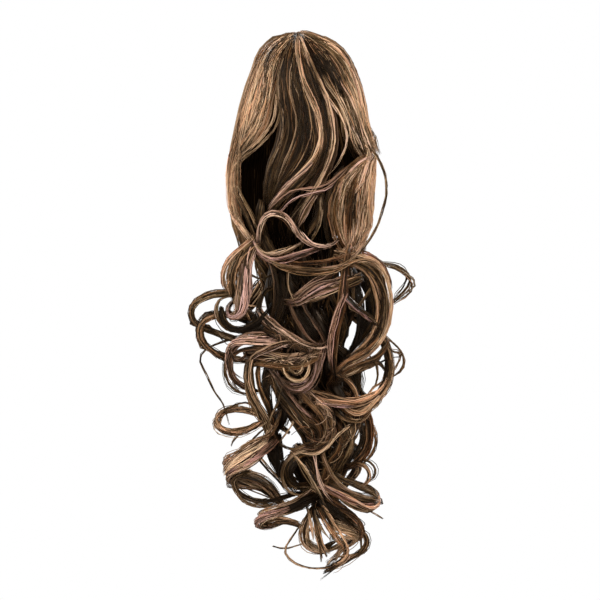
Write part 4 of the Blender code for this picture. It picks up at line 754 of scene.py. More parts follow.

# Painted highlights and painted shade: parts of the front view where the hair as a whole is painted lighter
# or darker, each fading out from its middle
PaintedLightArea = namedtuple("PaintedLightArea", "across down half_width half_height gain")
PAINTED_LIGHT_AREAS = (
    PaintedLightArea(252, 112, 15, 36, 0.32),
    PaintedLightArea(263, 78, 9, 26, 0.10),
    PaintedLightArea(232, 190, 8, 34, 0.32),
    PaintedLightArea(332, 72, 17, 24, -0.14),
    PaintedLightArea(286, 58, 10, 20, -0.10),
    PaintedLightArea(358, 96, 11, 28, 0.24),
    PaintedLightArea(344, 118, 12, 24, 0.14),
    PaintedLightArea(297, 122, 18, 46, -0.16),
    PaintedLightArea(315, 68, 9, 27, -0.30),
    PaintedLightArea(246, 182, 14, 30, -0.20),
    PaintedLightArea(345, 166, 18, 8, -0.22),
    PaintedLightArea(369, 184, 11, 42, 0.36),
    PaintedLightArea(348, 206, 10, 14, -0.06),
    PaintedLightArea(354, 238, 16, 16, 0.24),
    PaintedLightArea(286, 238, 10, 7, -0.24),
    PaintedLightArea(312, 222, 12, 22, -0.10),
    PaintedLightArea(282, 290, 12, 34, -0.20),
    PaintedLightArea(308, 276, 16, 12, -0.30),
    PaintedLightArea(310, 318, 20, 20, -0.20),
    PaintedLightArea(354, 300, 14, 34, -0.26),
    PaintedLightArea(252, 322, 16, 9, -0.24),
    PaintedLightArea(240, 340, 16, 8, 0.16),
    PaintedLightArea(384, 300, 9, 34, 0.10),
    PaintedLightArea(330, 378, 12, 16, -0.26),
    PaintedLightArea(282, 398, 10, 26, -0.34),
    PaintedLightArea(338, 414, 11, 8, -0.28),
    PaintedLightArea(362, 398, 18, 12, 0.16),
    PaintedLightArea(278, 462, 10, 22, -0.30),
    PaintedLightArea(300, 472, 14, 14, -0.14),
    PaintedLightArea(240, 462, 16, 12, 0.10),
    PaintedLightArea(306, 502, 24, 11, -0.40),
    PaintedLightArea(274, 454, 11, 20, -0.26),
    PaintedLightArea(344, 462, 14, 14, -0.16),
    PaintedLightArea(350, 494, 20, 9, 0.12),
    PaintedLightArea(340, 514, 14, 8, -0.22),
    PaintedLightArea(330, 544, 34, 28, 0.30),
    PaintedLightArea(274, 516, 24, 10, 0.16),
    PaintedLightArea(222, 424, 16, 14, 0.18),
    PaintedLightArea(236, 276, 16, 34, 0.12),
    PaintedLightArea(318, 288, 20, 9, 0.14),
    PaintedLightArea(382, 394, 12, 12, 0.14),
    PaintedLightArea(228, 468, 12, 12, 0.16),
    PaintedLightArea(376, 498, 12, 12, 0.14),
    PaintedLightArea(260, 520, 14, 9, 0.12),
    PaintedLightArea(360, 370, 16, 10, 0.08),
)

# Shades by place: where the painted highlights and shade fade out towards the back, and how much painted
# shade darkens hair near the core
FRONT_FADE = (-12.0, 16.0)
CORE_PAINTED_SHADE = 0.26
CORE_REACH = 1.2
CORE_FADE = 0.45
CORE_FADE_DOWN = 20.0
LEAST_SHADE = 0.02
# A lock's inner body is painted dark, as the shade inside the lock: a share of the lock's shade, and at most
# this shade.
BODY_PAINTED_SHADE_SHARE = 0.24
BODY_PAINTED_SHADE_MOST = 0.2

# Hair colour: how far each dye works, how much the shade varies along a strand, and its shine
COPPER_DYE = (1.0, 0.60, 0.40)
COPPER_STRENGTH = 0.9
ROSE_DYE = (0.94, 0.80, 1.26)
ROSE_STRENGTH = 1.25
STREAKS = 0.34
SHINE = 0.17
SHINE_TINT = (1.0, 0.76, 0.56, 1.0)
# Painted shade: the under hair is made this much darker, as the shade deep in the hair.
UNDER_HAIR_PAINTED_SHADE = -0.10

# A lock's way is cut into steps, shorter where it turns more. Its flat side faces the way it bends or,
# where it runs straight, away from an axis a little behind the clip.
CURVE_SHARE = 0.05
LONGEST_STEP = 17.0
LARGEST_TURN = 24.5
LEAST_POINTS = 5
BEND_PULL = 900.0
OUTWARD_PULL = 0.35
AXIS_BEHIND = 8.0
PULL_SMOOTHED_OVER = 30.0

# A lock swells from its root and thins towards its tip, in shares of its way.
SWOLLEN_BY = 0.2
THIN_FROM = 0.55
THIN_OVER = 0.45
THINNING = 1.6

# How a lock is made up: its width at root and tip, how unevenly strands end, how far they gather in clumps
# and cup inwards, the share of it that its inner body fills, how coarse its strands are and how far their
# shades differ
LockStyle = namedtuple("LockStyle", "root tip ends clump cup body coarse contrast")
COMBED_STYLE = LockStyle(
    root=0.55, tip=0.85, ends=0.08, clump=0.18, cup=0.0, body=0.0, coarse=0.96, contrast=0.75)
HIGHLIGHT_STYLE = LockStyle(
    root=0.5, tip=0.5, ends=0.22, clump=0.30, cup=0.0, body=0.0, coarse=0.88, contrast=1.0)
CURL_STYLE = LockStyle(
    root=0.75, tip=0.45, ends=0.16, clump=0.40, cup=0.25, body=0.62, coarse=1.0, contrast=1.0)
FINE_STYLE = LockStyle(
    root=0.6, tip=0.5, ends=0.22, clump=0.25, cup=0.1, body=0.0, coarse=0.95, contrast=1.0)
UNDER_STYLE = LockStyle(
    root=0.75, tip=0.5, ends=0.16, clump=0.40, cup=0.25, body=0.70, coarse=1.7, contrast=1.0)
TENDRIL_STYLE = LockStyle(
    root=0.9, tip=0.7, ends=0.12, clump=0.1, cup=0.0, body=0.0, coarse=1.0, contrast=1.0)
SINGLE_STYLE = LockStyle(
    root=0.9, tip=0.7, ends=0.02, clump=0.0, cup=0.0, body=0.0, coarse=0.75, contrast=1.0)

# Strands in a lock: a clump's width, how far clumps sway as a share of the lock's width, the lengths of
# the waves, how far strays leave, how late strands start, and how their tips, shades and dyes vary
CLUMP_WIDTH = 2.6
ROOT_GATHER = 0.35
CLUMP_SWAY = 0.055
CLUMP_SWAY_OUT = 0.6
CLUMP_WAVES = (38.0, 64.0)
FRIZZ_WAVES = (22.0, 60.0)
STRAY_LEAVES = (1.0, 3.4)
LATEST_START = 0.04
RADIUS_SPREAD = (0.8, 1.2)
TIP_TAPER = 0.18
LEAST_TIP = 0.25
CLUMP_TONE = 0.10
STRAND_TONE = 0.12
DARK_STRAND_SHADE = 0.28
MIDDLE_COPPER = 0.2
COPPER_SPREAD = 0.2
ROSE_SPREAD = 0.12

# A fine curl's root lies this far back along its way and this much deeper than its first charted point.
ROOT_BACK = 4.0
ROOT_DEPTH = 8.0

# Under hair of the crown: the heights it is charted at, its columns round the dome, clumps and waves
DOME_TOP_DOWNS = (34.0, 37.0, 42.0, 49.0, 58.0, 70.0)
DOME_SIDE_DOWN = 86.0
DOME_SIDE_LEVELS = 9
DOME_COLUMNS = 40
DOME_CLUMPS = 34
DOME_STREAKS = 60
DOME_DRIFT = 2.4
DOME_WAVE = 0.5
DOME_CLUMP_WAVE = 2.6
DOME_CLUMP_RATES = (3.0, 8.0)
DOME_CLUMP_ENDS = (-13.0, 12.0)
DOME_ENDS = (-6.0, 6.0)
DOME_STREAK_TONE = 0.07
DOME_CLUMP_TONE = 0.05
DOME_STRAND_TONE = 0.11
DOME_STRAND_SIZE = 1.4
WAVE_STARTS = (0.0, 6.28)

# Form of the crown: the half width below which it gets less deep too, how square its front is, and how far
# in front of the clip's middle each combed lock stays at least
NARROW_HALF_WIDTH = 50.0
FRONT_SQUARENESS = 0.9
LEAST_FRONT = 2.0

# Backing of the crown: its levels, the points of each, and how far above the crown's end it stops
BACKING_LEVELS = (
    37, 39, 42, 46, 50, 55, 61, 68, 76, 86, 96, 107, 118, 129, 140, 150, 160, 170, 180, 190, 200, 210,
    220, 227)
BACKING_POINTS = 48
BACKING_SHORTER = 13.0
ROOM_SIDES = 40

# Hair on the walls of the crown's room
LINING_STRANDS = 150
LINING_SIDES = 80
LINING_DOWNS = (58.0, 238.0)
LINING_GAP = 0.5
LINING_BACK = 16.0

# Single hairs over the combed locks
SPREAD_POINTS = 12

# Core of the tail: the body's steps and sides, and the hair round it
CORE_STEP = 7.0
CORE_SIDES = 40
CORE_TAPER = 26.0
CORE_STRANDS = 220
CORE_STRAND_LEVELS = 22
CORE_STRAND_WAVES = (13.0, 19.0)
CORE_STRAND_SWAY = 0.28
CORE_STRAND_SIZE = 1.8

# Head of the tail, from the clip's foot down inside the crown: it opens out from where it is gathered.
HEAD_LEVELS = 14
HEAD_STRANDS = 260
HEAD_STRAND_SIZE = 1.6
HEAD_BELOW = 14.0
HEAD_OPENING = 34.0
HEAD_GATHERED = 0.45
HEAD_GAPS = (1.6, 0.7)

# Loose hairs: wisps beside the curls, and a tangle of short ones across the wider, lighter curls that lie
# in front of the core. It leaves out the open hollow at the lower left.
WISPS_PER_PIECE = 46
WISP_STEPS = (8, 16)
WISP_LEAVES = 4.0
WISP_WAVE = 3.0
TANGLE_HAIRS = 260
TANGLE_SLANT = 0.4
TANGLE_BENDS = (9.0, 20.0)
TANGLE_SWEEPS = (1.2, 2.8)
TANGLE_LIFTS = (0.3, 2.5)
TANGLE_ENDS_SUNK = 6.0
TANGLE_LEAST_WIDTH = 14
TANGLE_LEAST_SHADE = 0.4
TANGLE_INSIDE = 2.0
TANGLE_FRONT = 24.0
TANGLE_TOP_DOWN = 268.0
TANGLE_OPEN_LEFT = 304.0
TANGLE_OPEN_DOWN = 390.0

# Sections of a strand and of a lock's inner body, and the looks that each tube carries to its material
STRAND_SIDES = 3
BODY_SIDES = 10
BODY_FLUTE = 0.12
BODY_ROOT = 0.6
BODY_TIP = 0.3
LOOKS = ("shade", "copper", "rose", "lot", "run")

# Each tube has a narrow upright bake cell of its own. A cell's margins and size are shares of it.
CELL_COLUMNS = 256
CELL_LEFT = 0.12
CELL_BOTTOM = 0.04
CELL_WIDTH = 0.76
CELL_HEIGHT = 0.92

# Clip edges sharper than this are rounded.
CLIP_EDGE_ANGLE = math.radians(38.0)
CLIP_ROUNDING = 0.0005

# A softbox: where it stands, in metres of the row frame, its side and its share of the front or back power
Softbox = namedtuple("Softbox", "name place side share back")
SOFTBOXES = (
    Softbox("key_left", (-1.9, -2.6, 1.9), 0.8, 1.0, False),
    Softbox("key_right", (1.9, -2.8, 1.8), 0.8, 0.9, False),
    Softbox("front_low", (0.0, -3.2, -0.5), 1.6, 0.42, False),
    Softbox("side_left", (-3.2, 0.3, 1.0), 1.0, 0.7, True),
    Softbox("side_right", (3.2, 0.3, 1.0), 1.0, 0.7, True),
    Softbox("back_left", (-1.9, 2.6, 1.7), 0.9, 1.3, True),
    Softbox("back_right", (1.9, 2.6, 1.7), 0.9, 1.3, True),
)
SURROUNDINGS_LIGHT = 0.06


class HairpieceSettings(bpy.types.PropertyGroup):
    """Sizes and colours of the hair, and the studio round it."""

    strand_radius: FloatProperty(
        name="Strand Radius", description="Radius of a strand near its root",
        default=0.00042, min=0.0001, unit="LENGTH")
    strands_per_millimetre: FloatProperty(
        name="Strands per Millimetre", description="Strands for each millimetre of a lock's width",
        default=4.1, min=1.0)
    frizz: FloatProperty(
        name="Frizz", description="How far strands wander inside a lock",
        default=0.0006, min=0.0, unit="LENGTH")
    stray_share: FloatProperty(
        name="Stray Share", description="Share of the strands that leave their lock",
        default=0.07, min=0.0, max=1.0)
    dark_share: FloatProperty(
        name="Dark Share", description="Share of the strands that are much darker than their lock",
        default=0.24, min=0.0, max=1.0)
    crown_strands: IntProperty(
        name="Crown Strands", description="Strands of the under hair round the whole crown",
        default=1000, min=10)
    seed: IntProperty(
        name="Seed", description="Seed of every random choice",
        default=11)
    dark_hair: FloatVectorProperty(
        name="Dark Hair", description="Colour of the darkest strands",
        subtype="COLOR", default=(0.0025, 0.0013, 0.0006))
    brown_hair: FloatVectorProperty(
        name="Brown Hair", description="Colour of the middle strands",
        subtype="COLOR", default=(0.114, 0.066, 0.027))
    light_hair: FloatVectorProperty(
        name="Light Hair", description="Colour of the lightest strands",
        subtype="COLOR", default=(0.71, 0.49, 0.297))
    key_power: FloatProperty(
        name="Key Power", description="Power of each front softbox in watts",
        default=130.0, min=0.0)
    fill_power: FloatProperty(
        name="Fill Power", description="Power of each side or back softbox in watts",
        default=75.0, min=0.0)
    camera_distance: FloatProperty(
        name="Camera Distance", description="From the camera to the clip",
        default=5.0, min=1.0, unit="LENGTH")
    floor_drop: FloatProperty(
        name="Floor Drop", description="From the clip down to the floor",
        default=2.0, min=0.6, unit="LENGTH")


class Flow:
    """A node socket that sums like a number: each operator adds the Math node for it."""

    def __init__(self, tree, socket):
        self.tree = tree
        self.socket = socket

    def math(self, operation, first, second=None):
        node = self.tree.nodes.new("ShaderNodeMath")
        node.operation = operation
        for slot, value in zip(node.inputs, (first, second)):
            if value is not None:
                plug(self.tree, value, slot)
        return Flow(self.tree, node.outputs[0])

    def __add__(self, other):
        return self.math("ADD", self, other)

    def __radd__(self, other):
        return self.math("ADD", other, self)

    def __sub__(self, other):
        return self.math("SUBTRACT", self, other)

    def __mul__(self, other):
        return self.math("MULTIPLY", self, other)

    def held(self):
        """The same value, held between 0 and 1."""
        node = self.tree.nodes.new("ShaderNodeClamp")
        plug(self.tree, self, node.inputs["Value"])
        return Flow(self.tree, node.outputs[0])


def plug(tree, value, slot):
    if isinstance(value, Flow):
        tree.links.new(value.socket, slot)
    else:
        slot.default_value = value


class Recipe:
    """A material's nodes, added one call at a time."""

    def __init__(self, name):
        self.material = bpy.data.materials.new(name)
        self.material.use_nodes = True
        self.tree = self.material.node_tree
        self.shader = self.tree.nodes["Principled BSDF"]

    def node(self, kind, output=0, inputs=None, **settings):
        """Any node: its settings by name, its inputs by name or place, and the output to carry on with."""
        node = self.tree.nodes.new(kind)
        for name, value in settings.items():
            setattr(node, name, value)
        for slot, value in (inputs or {}).items():
            plug(self.tree, value, node.inputs[slot])
        return Flow(self.tree, node.outputs[output])

    def attribute(self, name):
        return self.node("ShaderNodeAttribute", "Fac", attribute_name=name)

    def combine(self, x, y, z):
        return self.node("ShaderNodeCombineXYZ", inputs={0: x, 1: y, 2: z})

    def noise(self, vector, scale, detail=2.0):
        return self.node("ShaderNodeTexNoise", "Fac", {"Vector": vector, "Scale": scale, "Detail": detail})

    def ramp(self, factor, stops):
        """A colour ramp through stops of (place, colour)."""
        node = self.tree.nodes.new("ShaderNodeValToRGB")
        elements = node.color_ramp.elements
        while len(elements) < len(stops):
            elements.new(0.5)
        for element, (place_along, colour) in zip(elements, stops):
            element.position = place_along
            element.color = (*colour, 1.0)
        plug(self.tree, factor, node.inputs[0])
        return Flow(self.tree, node.outputs[0])

    def dyed(self, colour, dye, share):
        """A colour multiplied by a dye, as far as the share says."""
        node = self.tree.nodes.new("ShaderNodeMix")
        node.data_type = "RGBA"
        node.blend_type = "MULTIPLY"
        plug(self.tree, share, node.inputs[0])
        plug(self.tree, colour, node.inputs[6])
        plug(self.tree, (*dye, 1.0), node.inputs[7])
        return Flow(self.tree, node.outputs[2])

    def bump(self, height, strength, distance):
        inputs = {"Height": height, "Strength": strength, "Distance": distance}
        return self.node("ShaderNodeBump", "Normal", inputs)

    def finish(self, **inputs):
        """Plugs values or flows into the shader: underscores stand for the spaces in its socket names."""
        for name, value in inputs.items():
            plug(self.tree, value, self.shader.inputs[name.replace("_", " ").title()])
        return self.material


def blend_colours(first, second, share):
    return tuple(a + (b - a) * share for a, b in zip(first, second))


def hair_material(name, lift=0.0, shine=SHINE):
    """Hair: a ramp from dark to beige by each strand's shade, two dyes, and fine streaks along the strand."""
    settings = bpy.context.scene.hairpiece
    dark, brown, light = settings.dark_hair, settings.brown_hair, settings.light_hair
    recipe = Recipe(name)
    lot, run = recipe.attribute("lot"), recipe.attribute("run")
    along = recipe.noise(recipe.combine(lot * 83.0, run * 26.0, lot * 17.0), 1.0, 3.0)
    shade = (recipe.attribute("shade") + (along - 0.5) * STREAKS + lift).held()
    colour = recipe.ramp(shade, (
        (0.0, dark),
        (0.26, blend_colours(dark, brown, 0.22)),
        (0.50, brown),
        (0.74, blend_colours(brown, light, 0.40)),
        (1.0, light),
    ))
    colour = recipe.dyed(colour, COPPER_DYE, (recipe.attribute("copper") * COPPER_STRENGTH).held())
    colour = recipe.dyed(colour, ROSE_DYE, (recipe.attribute("rose") * ROSE_STRENGTH).held())
    fine = recipe.noise(recipe.combine(lot * 311.0, run * 240.0, 0.0), 1.0, 2.0)
    recipe.shader.inputs["Specular IOR Level"].default_value = shine
    recipe.shader.inputs["Specular Tint"].default_value = SHINE_TINT
    return recipe.finish(
        base_color=colour,
        roughness=0.34 + fine * 0.16,
        normal=recipe.bump(fine, 0.25, 0.0002),
    )


def hair_fibre():
    """The material of the locks and of nearly all strands, made once."""
    return bpy.data.materials.get("hair_fibre") or hair_material("hair_fibre")


def under_hair():
    """The duller material of the backing, the core and the crown's lowest strands, painted darker as shade,
    made once.
    """
    return bpy.data.materials.get("under_hair") or hair_material("under_hair", UNDER_HAIR_PAINTED_SHADE, 0.0)


def clip_material():
    """Dark tortoiseshell plastic, with a soft polish and faint moulding ripples."""
    recipe = Recipe("clip_tortoiseshell")
    place_on = recipe.node("ShaderNodeTexCoord", "Object")
    clouds = recipe.noise(place_on, 55.0, 3.0)
    colour = recipe.ramp(clouds, (
        (0.30, (0.010, 0.005, 0.003)),
        (0.52, (0.035, 0.015, 0.007)),
        (0.74, (0.150, 0.062, 0.022)),
    ))
    ripple = recipe.noise(place_on, 210.0, 2.0)
    return recipe.finish(
        base_color=colour,
        roughness=0.2 + recipe.noise(place_on, 900.0) * 0.14,
        coat_weight=0.3,
        normal=recipe.bump(ripple, 0.1, 0.0003),
    )


def floor_material():
    """Pale matt studio floor with a barely visible grain."""
    recipe = Recipe("studio_floor")
    grain = recipe.noise(recipe.node("ShaderNodeTexCoord", "Object"), 3.0, 4.0)
    shade = 0.9 + grain * 0.03
    grey = recipe.node("ShaderNodeCombineColor", inputs={0: shade, 1: shade, 2: shade})
    return recipe.finish(base_color=grey, roughness=0.7)


def place(across, down, front):
    """A charted point in millimetres of the row frame."""
    return np.array([across - PARTING_ACROSS, -front, CLIP_DOWN - down], float)


def column(rows, field):
    return np.array([getattr(row, field) for row in rows], float)


def straight_between(rows, field, down):
    return float(np.interp(down, column(rows, "down"), column(rows, field)))


def core_at(down):
    """The core's middle, half width, front and back at one height or at many."""
    return [np.interp(down, column(CORE, "down"), column(CORE, field)) for field in CoreRow._fields[1:]]


def hermite(start, end, leave, arrive, t):
    return (
        (2 * t**3 - 3 * t**2 + 1) * start
        + (t**3 - 2 * t**2 + t) * leave
        + (3 * t**2 - 2 * t**3) * end
        + (t**3 - t**2) * arrive
    )


def read_table(rows, field, down):
    """A field of a table at a height between its rows, eased so that the outline has no corners."""
    downs, values = column(rows, "down"), column(rows, field)
    slopes = np.gradient(values, downs)
    k = int(np.clip(np.searchsorted(downs, down) - 1, 0, len(downs) - 2))
    step = downs[k + 1] - downs[k]
    t = float(np.clip((down - downs[k]) / step, 0.0, 1.0))
    return hermite(values[k], values[k + 1], slopes[k] * step, slopes[k + 1] * step, t)


def unit(vectors):
    return vectors / np.linalg.norm(vectors, axis=-1, keepdims=True)


def smooth_way(points):
    """Evenly spaced points on a smooth curve through the given ones, closer together the more it turns."""
    points = np.array(points, float)
    spans = np.linalg.norm(np.diff(points, axis=0), axis=1)
    slopes = np.empty_like(points)
    ratios = np.diff(points, axis=0) / spans[:, None]
    slopes[0], slopes[-1] = ratios[0], ratios[-1]
    before, after = spans[:-1, None], spans[1:, None]
    slopes[1:-1] = (ratios[:-1] * after + ratios[1:] * before) / (before + after)
    fine = []
    for k, span in enumerate(spans):
        for t in np.arange(0.0, 1.0, CURVE_SHARE):
            fine.append(hermite(points[k], points[k + 1], slopes[k] * span, slopes[k + 1] * span, t))
    fine = np.array(fine + [points[-1]])
    ahead = unit(np.diff(fine, axis=0))
    turning = np.degrees(np.arccos(np.clip((ahead[:-1] * ahead[1:]).sum(axis=1), -1.0, 1.0))).sum()
    count = round(run_along(fine)[-1] / LONGEST_STEP + turning / LARGEST_TURN) + 1
    return spaced(fine, max(LEAST_POINTS, count))


def run_along(points):
    """How far along its line each point lies."""
    return np.concatenate([[0.0], np.cumsum(np.linalg.norm(np.diff(points, axis=0), axis=1))])


def spaced(points, count):
    """A line read at a number of evenly spaced places."""
    run = run_along(points)
    wanted = np.linspace(0.0, run[-1], count)
    return np.column_stack([np.interp(wanted, run, points[:, axis]) for axis in range(points.shape[1])])


def flat_sides(points):
    """The way a lock's flat side faces at each point, and the way across it."""
    tangents = unit(np.gradient(points, axis=0))
    spacing = np.linalg.norm(np.diff(points, axis=0), axis=1).mean()
    bend = np.gradient(tangents, axis=0) / spacing
    outward = unit(points * np.array([1.0, 1.0, 0.0]) + np.array([0.0, AXIS_BEHIND, 0.0]))
    pulls = BEND_PULL * bend[:, :, None] * bend[:, None, :]
    pulls = pulls + OUTWARD_PULL * outward[:, :, None] * outward[:, None, :]
    for _ in range(round(PULL_SMOOTHED_OVER / spacing)):
        padded = np.concatenate([pulls[:1], pulls, pulls[-1:]])
        pulls = (padded[:-2] + 2 * padded[1:-1] + padded[2:]) / 4
    normals = []
    for tangent, pull in zip(tangents, pulls):
        across = np.eye(3) - np.outer(tangent, tangent)
        normal = np.linalg.eigh(across @ pull @ across)[1][:, -1]
        if normals and normal @ normals[-1] < 0:
            normal = -normal
        normals.append(normal)
    normals = np.array(normals)
    return normals, np.cross(tangents, normals)


def strand_axes(centres, outward):
    """The outward and sideways axes of strands, square to their way."""
    tangents = unit(np.gradient(centres, axis=1))
    aside = unit(np.cross(tangents, unit(outward)))
    return np.cross(aside, tangents), aside


def dyes(rng, middle, spread, count):
    """Shares of a dye that differ from strand to strand."""
    return np.clip(middle + spread * rng.standard_normal(count), 0.0, 1.0)


def fullness(shares, root, tip):
    """How wide a lock is along its way: it swells from the root and thins towards the tip."""
    swell = root + (1.0 - root) * np.sin(0.5 * np.pi * np.minimum(1.0, shares / SWOLLEN_BY))
    thin = 1.0 - (1.0 - tip) * np.maximum(0.0, (shares - THIN_FROM) / THIN_OVER) ** THINNING
    return swell * thin


def with_painted_light(shade, points):
    """Shades over points of hair: painted highlights and shade by area, and painted shade near the tail's
    core.
    """
    across, front, down = points[..., 0] + PARTING_ACROSS, -points[..., 1], CLIP_DOWN - points[..., 2]
    facing = np.clip((front - FRONT_FADE[0]) / (FRONT_FADE[1] - FRONT_FADE[0]), 0.0, 1.0)
    # Painted highlights and painted shade, area by area, on hair that faces the front
    gain = np.zeros_like(across)
    for area in PAINTED_LIGHT_AREAS:
        away = ((across - area.across) / area.half_width) ** 2 + ((down - area.down) / area.half_height) ** 2
        gain += area.gain * np.exp(-away)
    # Painted shade: hair near the tail's core is darkened, as if shaded by the hair round it.
    middle, half, ahead, behind = core_at(down)
    reach = np.hypot((across - middle) / half, front / np.where(front > 0, ahead, behind))
    below_crown = np.clip((down - CORE[0].down) / CORE_FADE_DOWN, 0.0, 1.0)
    inside = np.clip((CORE_REACH - reach) / CORE_FADE, 0.0, 1.0) * below_crown
    return np.clip(shade + gain * facing - CORE_PAINTED_SHADE * inside, LEAST_SHADE, 1.0)


class TubeMesh:
    """Closed tubes, gathered as arrays and made into one mesh, with looks and a bake cell for each tube."""

    def __init__(self, name):
        self.name = name
        self.blocks = []

    def add(self, rings, run, **looks):
        """Tubes of equal form: rings is tubes x rings x sides x 3, in millimetres.

        Looks hold a value for each tube or for each of its rings.
        """
        self.blocks.append((rings, run, looks))

    def add_strands(self, centres, radii, out, aside, run, **looks):
        """Three-sided strands round their centre lines: centres is strands x points x 3."""
        angles = np.arange(STRAND_SIDES) * 2 * np.pi / STRAND_SIDES
        spokes = np.cos(angles)[:, None] * out[..., None, :] + np.sin(angles)[:, None] * aside[..., None, :]
        self.add(centres[:, :, None, :] + radii[:, :, None, None] * spokes, run, **looks)

    def build(self, material):
        """One object of all the tubes."""
        tubes = sum(len(block[0]) for block in self.blocks)
        cell_rows = max(1, math.ceil(tubes / CELL_COLUMNS))
        points, corners, sizes, cells = [], [], [], []
        looks = {name: [] for name in LOOKS}
        used, first = 0, 0
        for rings, run, values in self.blocks:
            count, steps, sides = rings.shape[:3]
            points.append(rings.reshape(-1, 3))
            index = first + np.arange(count * steps * sides).reshape(count, steps, sides)
            turned = np.roll(index, -1, axis=2)
            quads = np.stack([index[:, :-1], turned[:, :-1], turned[:, 1:], index[:, 1:]], axis=-1)
            caps = np.stack([index[:, 0, ::-1], index[:, -1]], axis=1)
            corners += [quads.reshape(-1), caps.reshape(-1)]
            sizes += [np.full(quads.size // 4, 4), np.full(count * 2, sides)]
            cells += self.cell_corners(used, count, steps, sides, cell_rows)
            for name, value in {**values, "run": run}.items():
                along = value[:, None] if value.ndim == 1 else value
                looks[name].append(np.broadcast_to(along[:, :, None], (count, steps, sides)).reshape(-1))
            used += count
            first += count * steps * sides
        return self.mesh_object(points, corners, sizes, cells, looks, material)

    def cell_corners(self, used, count, steps, sides, cell_rows):
        """Bake coordinates of each face corner: a tube's sides lie side by side in its own cell."""
        cell = used + np.arange(count)
        left = (cell % CELL_COLUMNS + CELL_LEFT) / CELL_COLUMNS
        bottom = (cell // CELL_COLUMNS + CELL_BOTTOM) / cell_rows
        wide, high = CELL_WIDTH / CELL_COLUMNS, CELL_HEIGHT / cell_rows
        up = bottom[:, None] + high * np.arange(steps) / (steps - 1)
        aside = left[:, None] + wide * np.arange(sides + 1) / sides
        low, top = up[:, :-1], up[:, 1:]
        shape = (count, steps - 1, sides)
        corner_u = [aside[:, None, :-1], aside[:, None, 1:], aside[:, None, 1:], aside[:, None, :-1]]
        corner_v = [low[:, :, None], low[:, :, None], top[:, :, None], top[:, :, None]]
        u = np.stack([np.broadcast_to(value, shape) for value in corner_u], axis=-1)
        v = np.stack([np.broadcast_to(value, shape) for value in corner_v], axis=-1)
        cap_u = np.broadcast_to(aside[:, None, :-1], (count, 2, sides))
        cap_v = np.broadcast_to(up[:, [0, -1]][:, :, None], (count, 2, sides))
        return [np.stack([u, v], axis=-1).reshape(-1, 2), np.stack([cap_u, cap_v], axis=-1).reshape(-1, 2)]

    def mesh_object(self, points, corners, sizes, cells, looks, material):
        points, corners = np.concatenate(points) * MM, np.concatenate(corners)
        sizes, cells = np.concatenate(sizes), np.concatenate(cells)
        mesh = bpy.data.meshes.new(self.name)
        mesh.vertices.add(len(points))
        mesh.vertices.foreach_set("co", points.astype(np.float32).ravel())
        mesh.loops.add(len(corners))
        mesh.loops.foreach_set("vertex_index", corners.astype(np.int32))
        mesh.polygons.add(len(sizes))
        starts = np.concatenate([[0], np.cumsum(sizes)[:-1]])
        mesh.polygons.foreach_set("loop_start", starts.astype(np.int32))
        mesh.uv_layers.new(name="OFBake").uv.foreach_set("vector", cells.astype(np.float32).ravel())
        for name, values in looks.items():
            layer = mesh.attributes.new(name, "FLOAT", "POINT")
            layer.data.foreach_set("value", np.concatenate(values).astype(np.float32))
        mesh.update(calc_edges=True)
        mesh.shade_smooth()
        mesh.materials.append(material)
        obj = bpy.data.objects.new(self.name, mesh)
        bpy.context.scene.collection.objects.link(obj)
        return obj


def gather_clumps(rng, lock, style, shares, length, aside, out):
    """Draws strands together in clumps that sway on their way, and says which clump each belongs to."""
    clumps = max(2, round(lock.width / CLUMP_WIDTH))
    member = rng.integers(0, clumps, len(aside))
    member[np.argsort(aside)] = np.sort(member)
    present = [(member == k).any() for k in range(clumps)]
    clump_aside = np.array([aside[member == k].mean() if present[k] else 0.0 for k in range(clumps)])
    clump_out = np.array([out[member == k].mean() if present[k] else 0.0 for k in range(clumps)])
    gather = style.clump * (ROOT_GATHER + (1.0 - ROOT_GATHER) * shares)[None, :]
    aside = aside[:, None] * (1.0 - gather) + clump_aside[member][:, None] * gather
    out = out[:, None] * (1.0 - gather) + clump_out[member][:, None] * gather

    sway = CLUMP_SWAY * lock.width
    phase = rng.uniform(0.0, 2 * np.pi, (clumps, 2))
    waves = length / rng.uniform(*CLUMP_WAVES, (clumps, 2))
    swing = np.sin(2 * np.pi * waves[:, None, :] * shares[None, :, None] + phase[:, None, :])
    aside = aside + sway * swing[member, :, 0]
    out = out + CLUMP_SWAY_OUT * sway * swing[member, :, 1]
    return aside, out, member, clumps


def strand_looks(rng, lock, style, member, clumps, centres):
    """Shade, dyes and lot of each strand, which differ by clump and by strand."""
    dark_share = style.contrast**2 * bpy.context.scene.hairpiece.dark_share
    count = len(member)
    tone = CLUMP_TONE * rng.standard_normal(clumps)[member] + STRAND_TONE * rng.standard_normal(count)
    tone = lock.shade + style.contrast * tone
    tone = np.where(rng.uniform(size=count) < dark_share, DARK_STRAND_SHADE * tone, tone)
    return {
        "shade": with_painted_light(tone[:, None], centres),
        "copper": dyes(rng, lock.copper, COPPER_SPREAD, count),
        "rose": dyes(rng, lock.rose, ROSE_SPREAD, count),
        "lot": rng.uniform(size=count),
    }


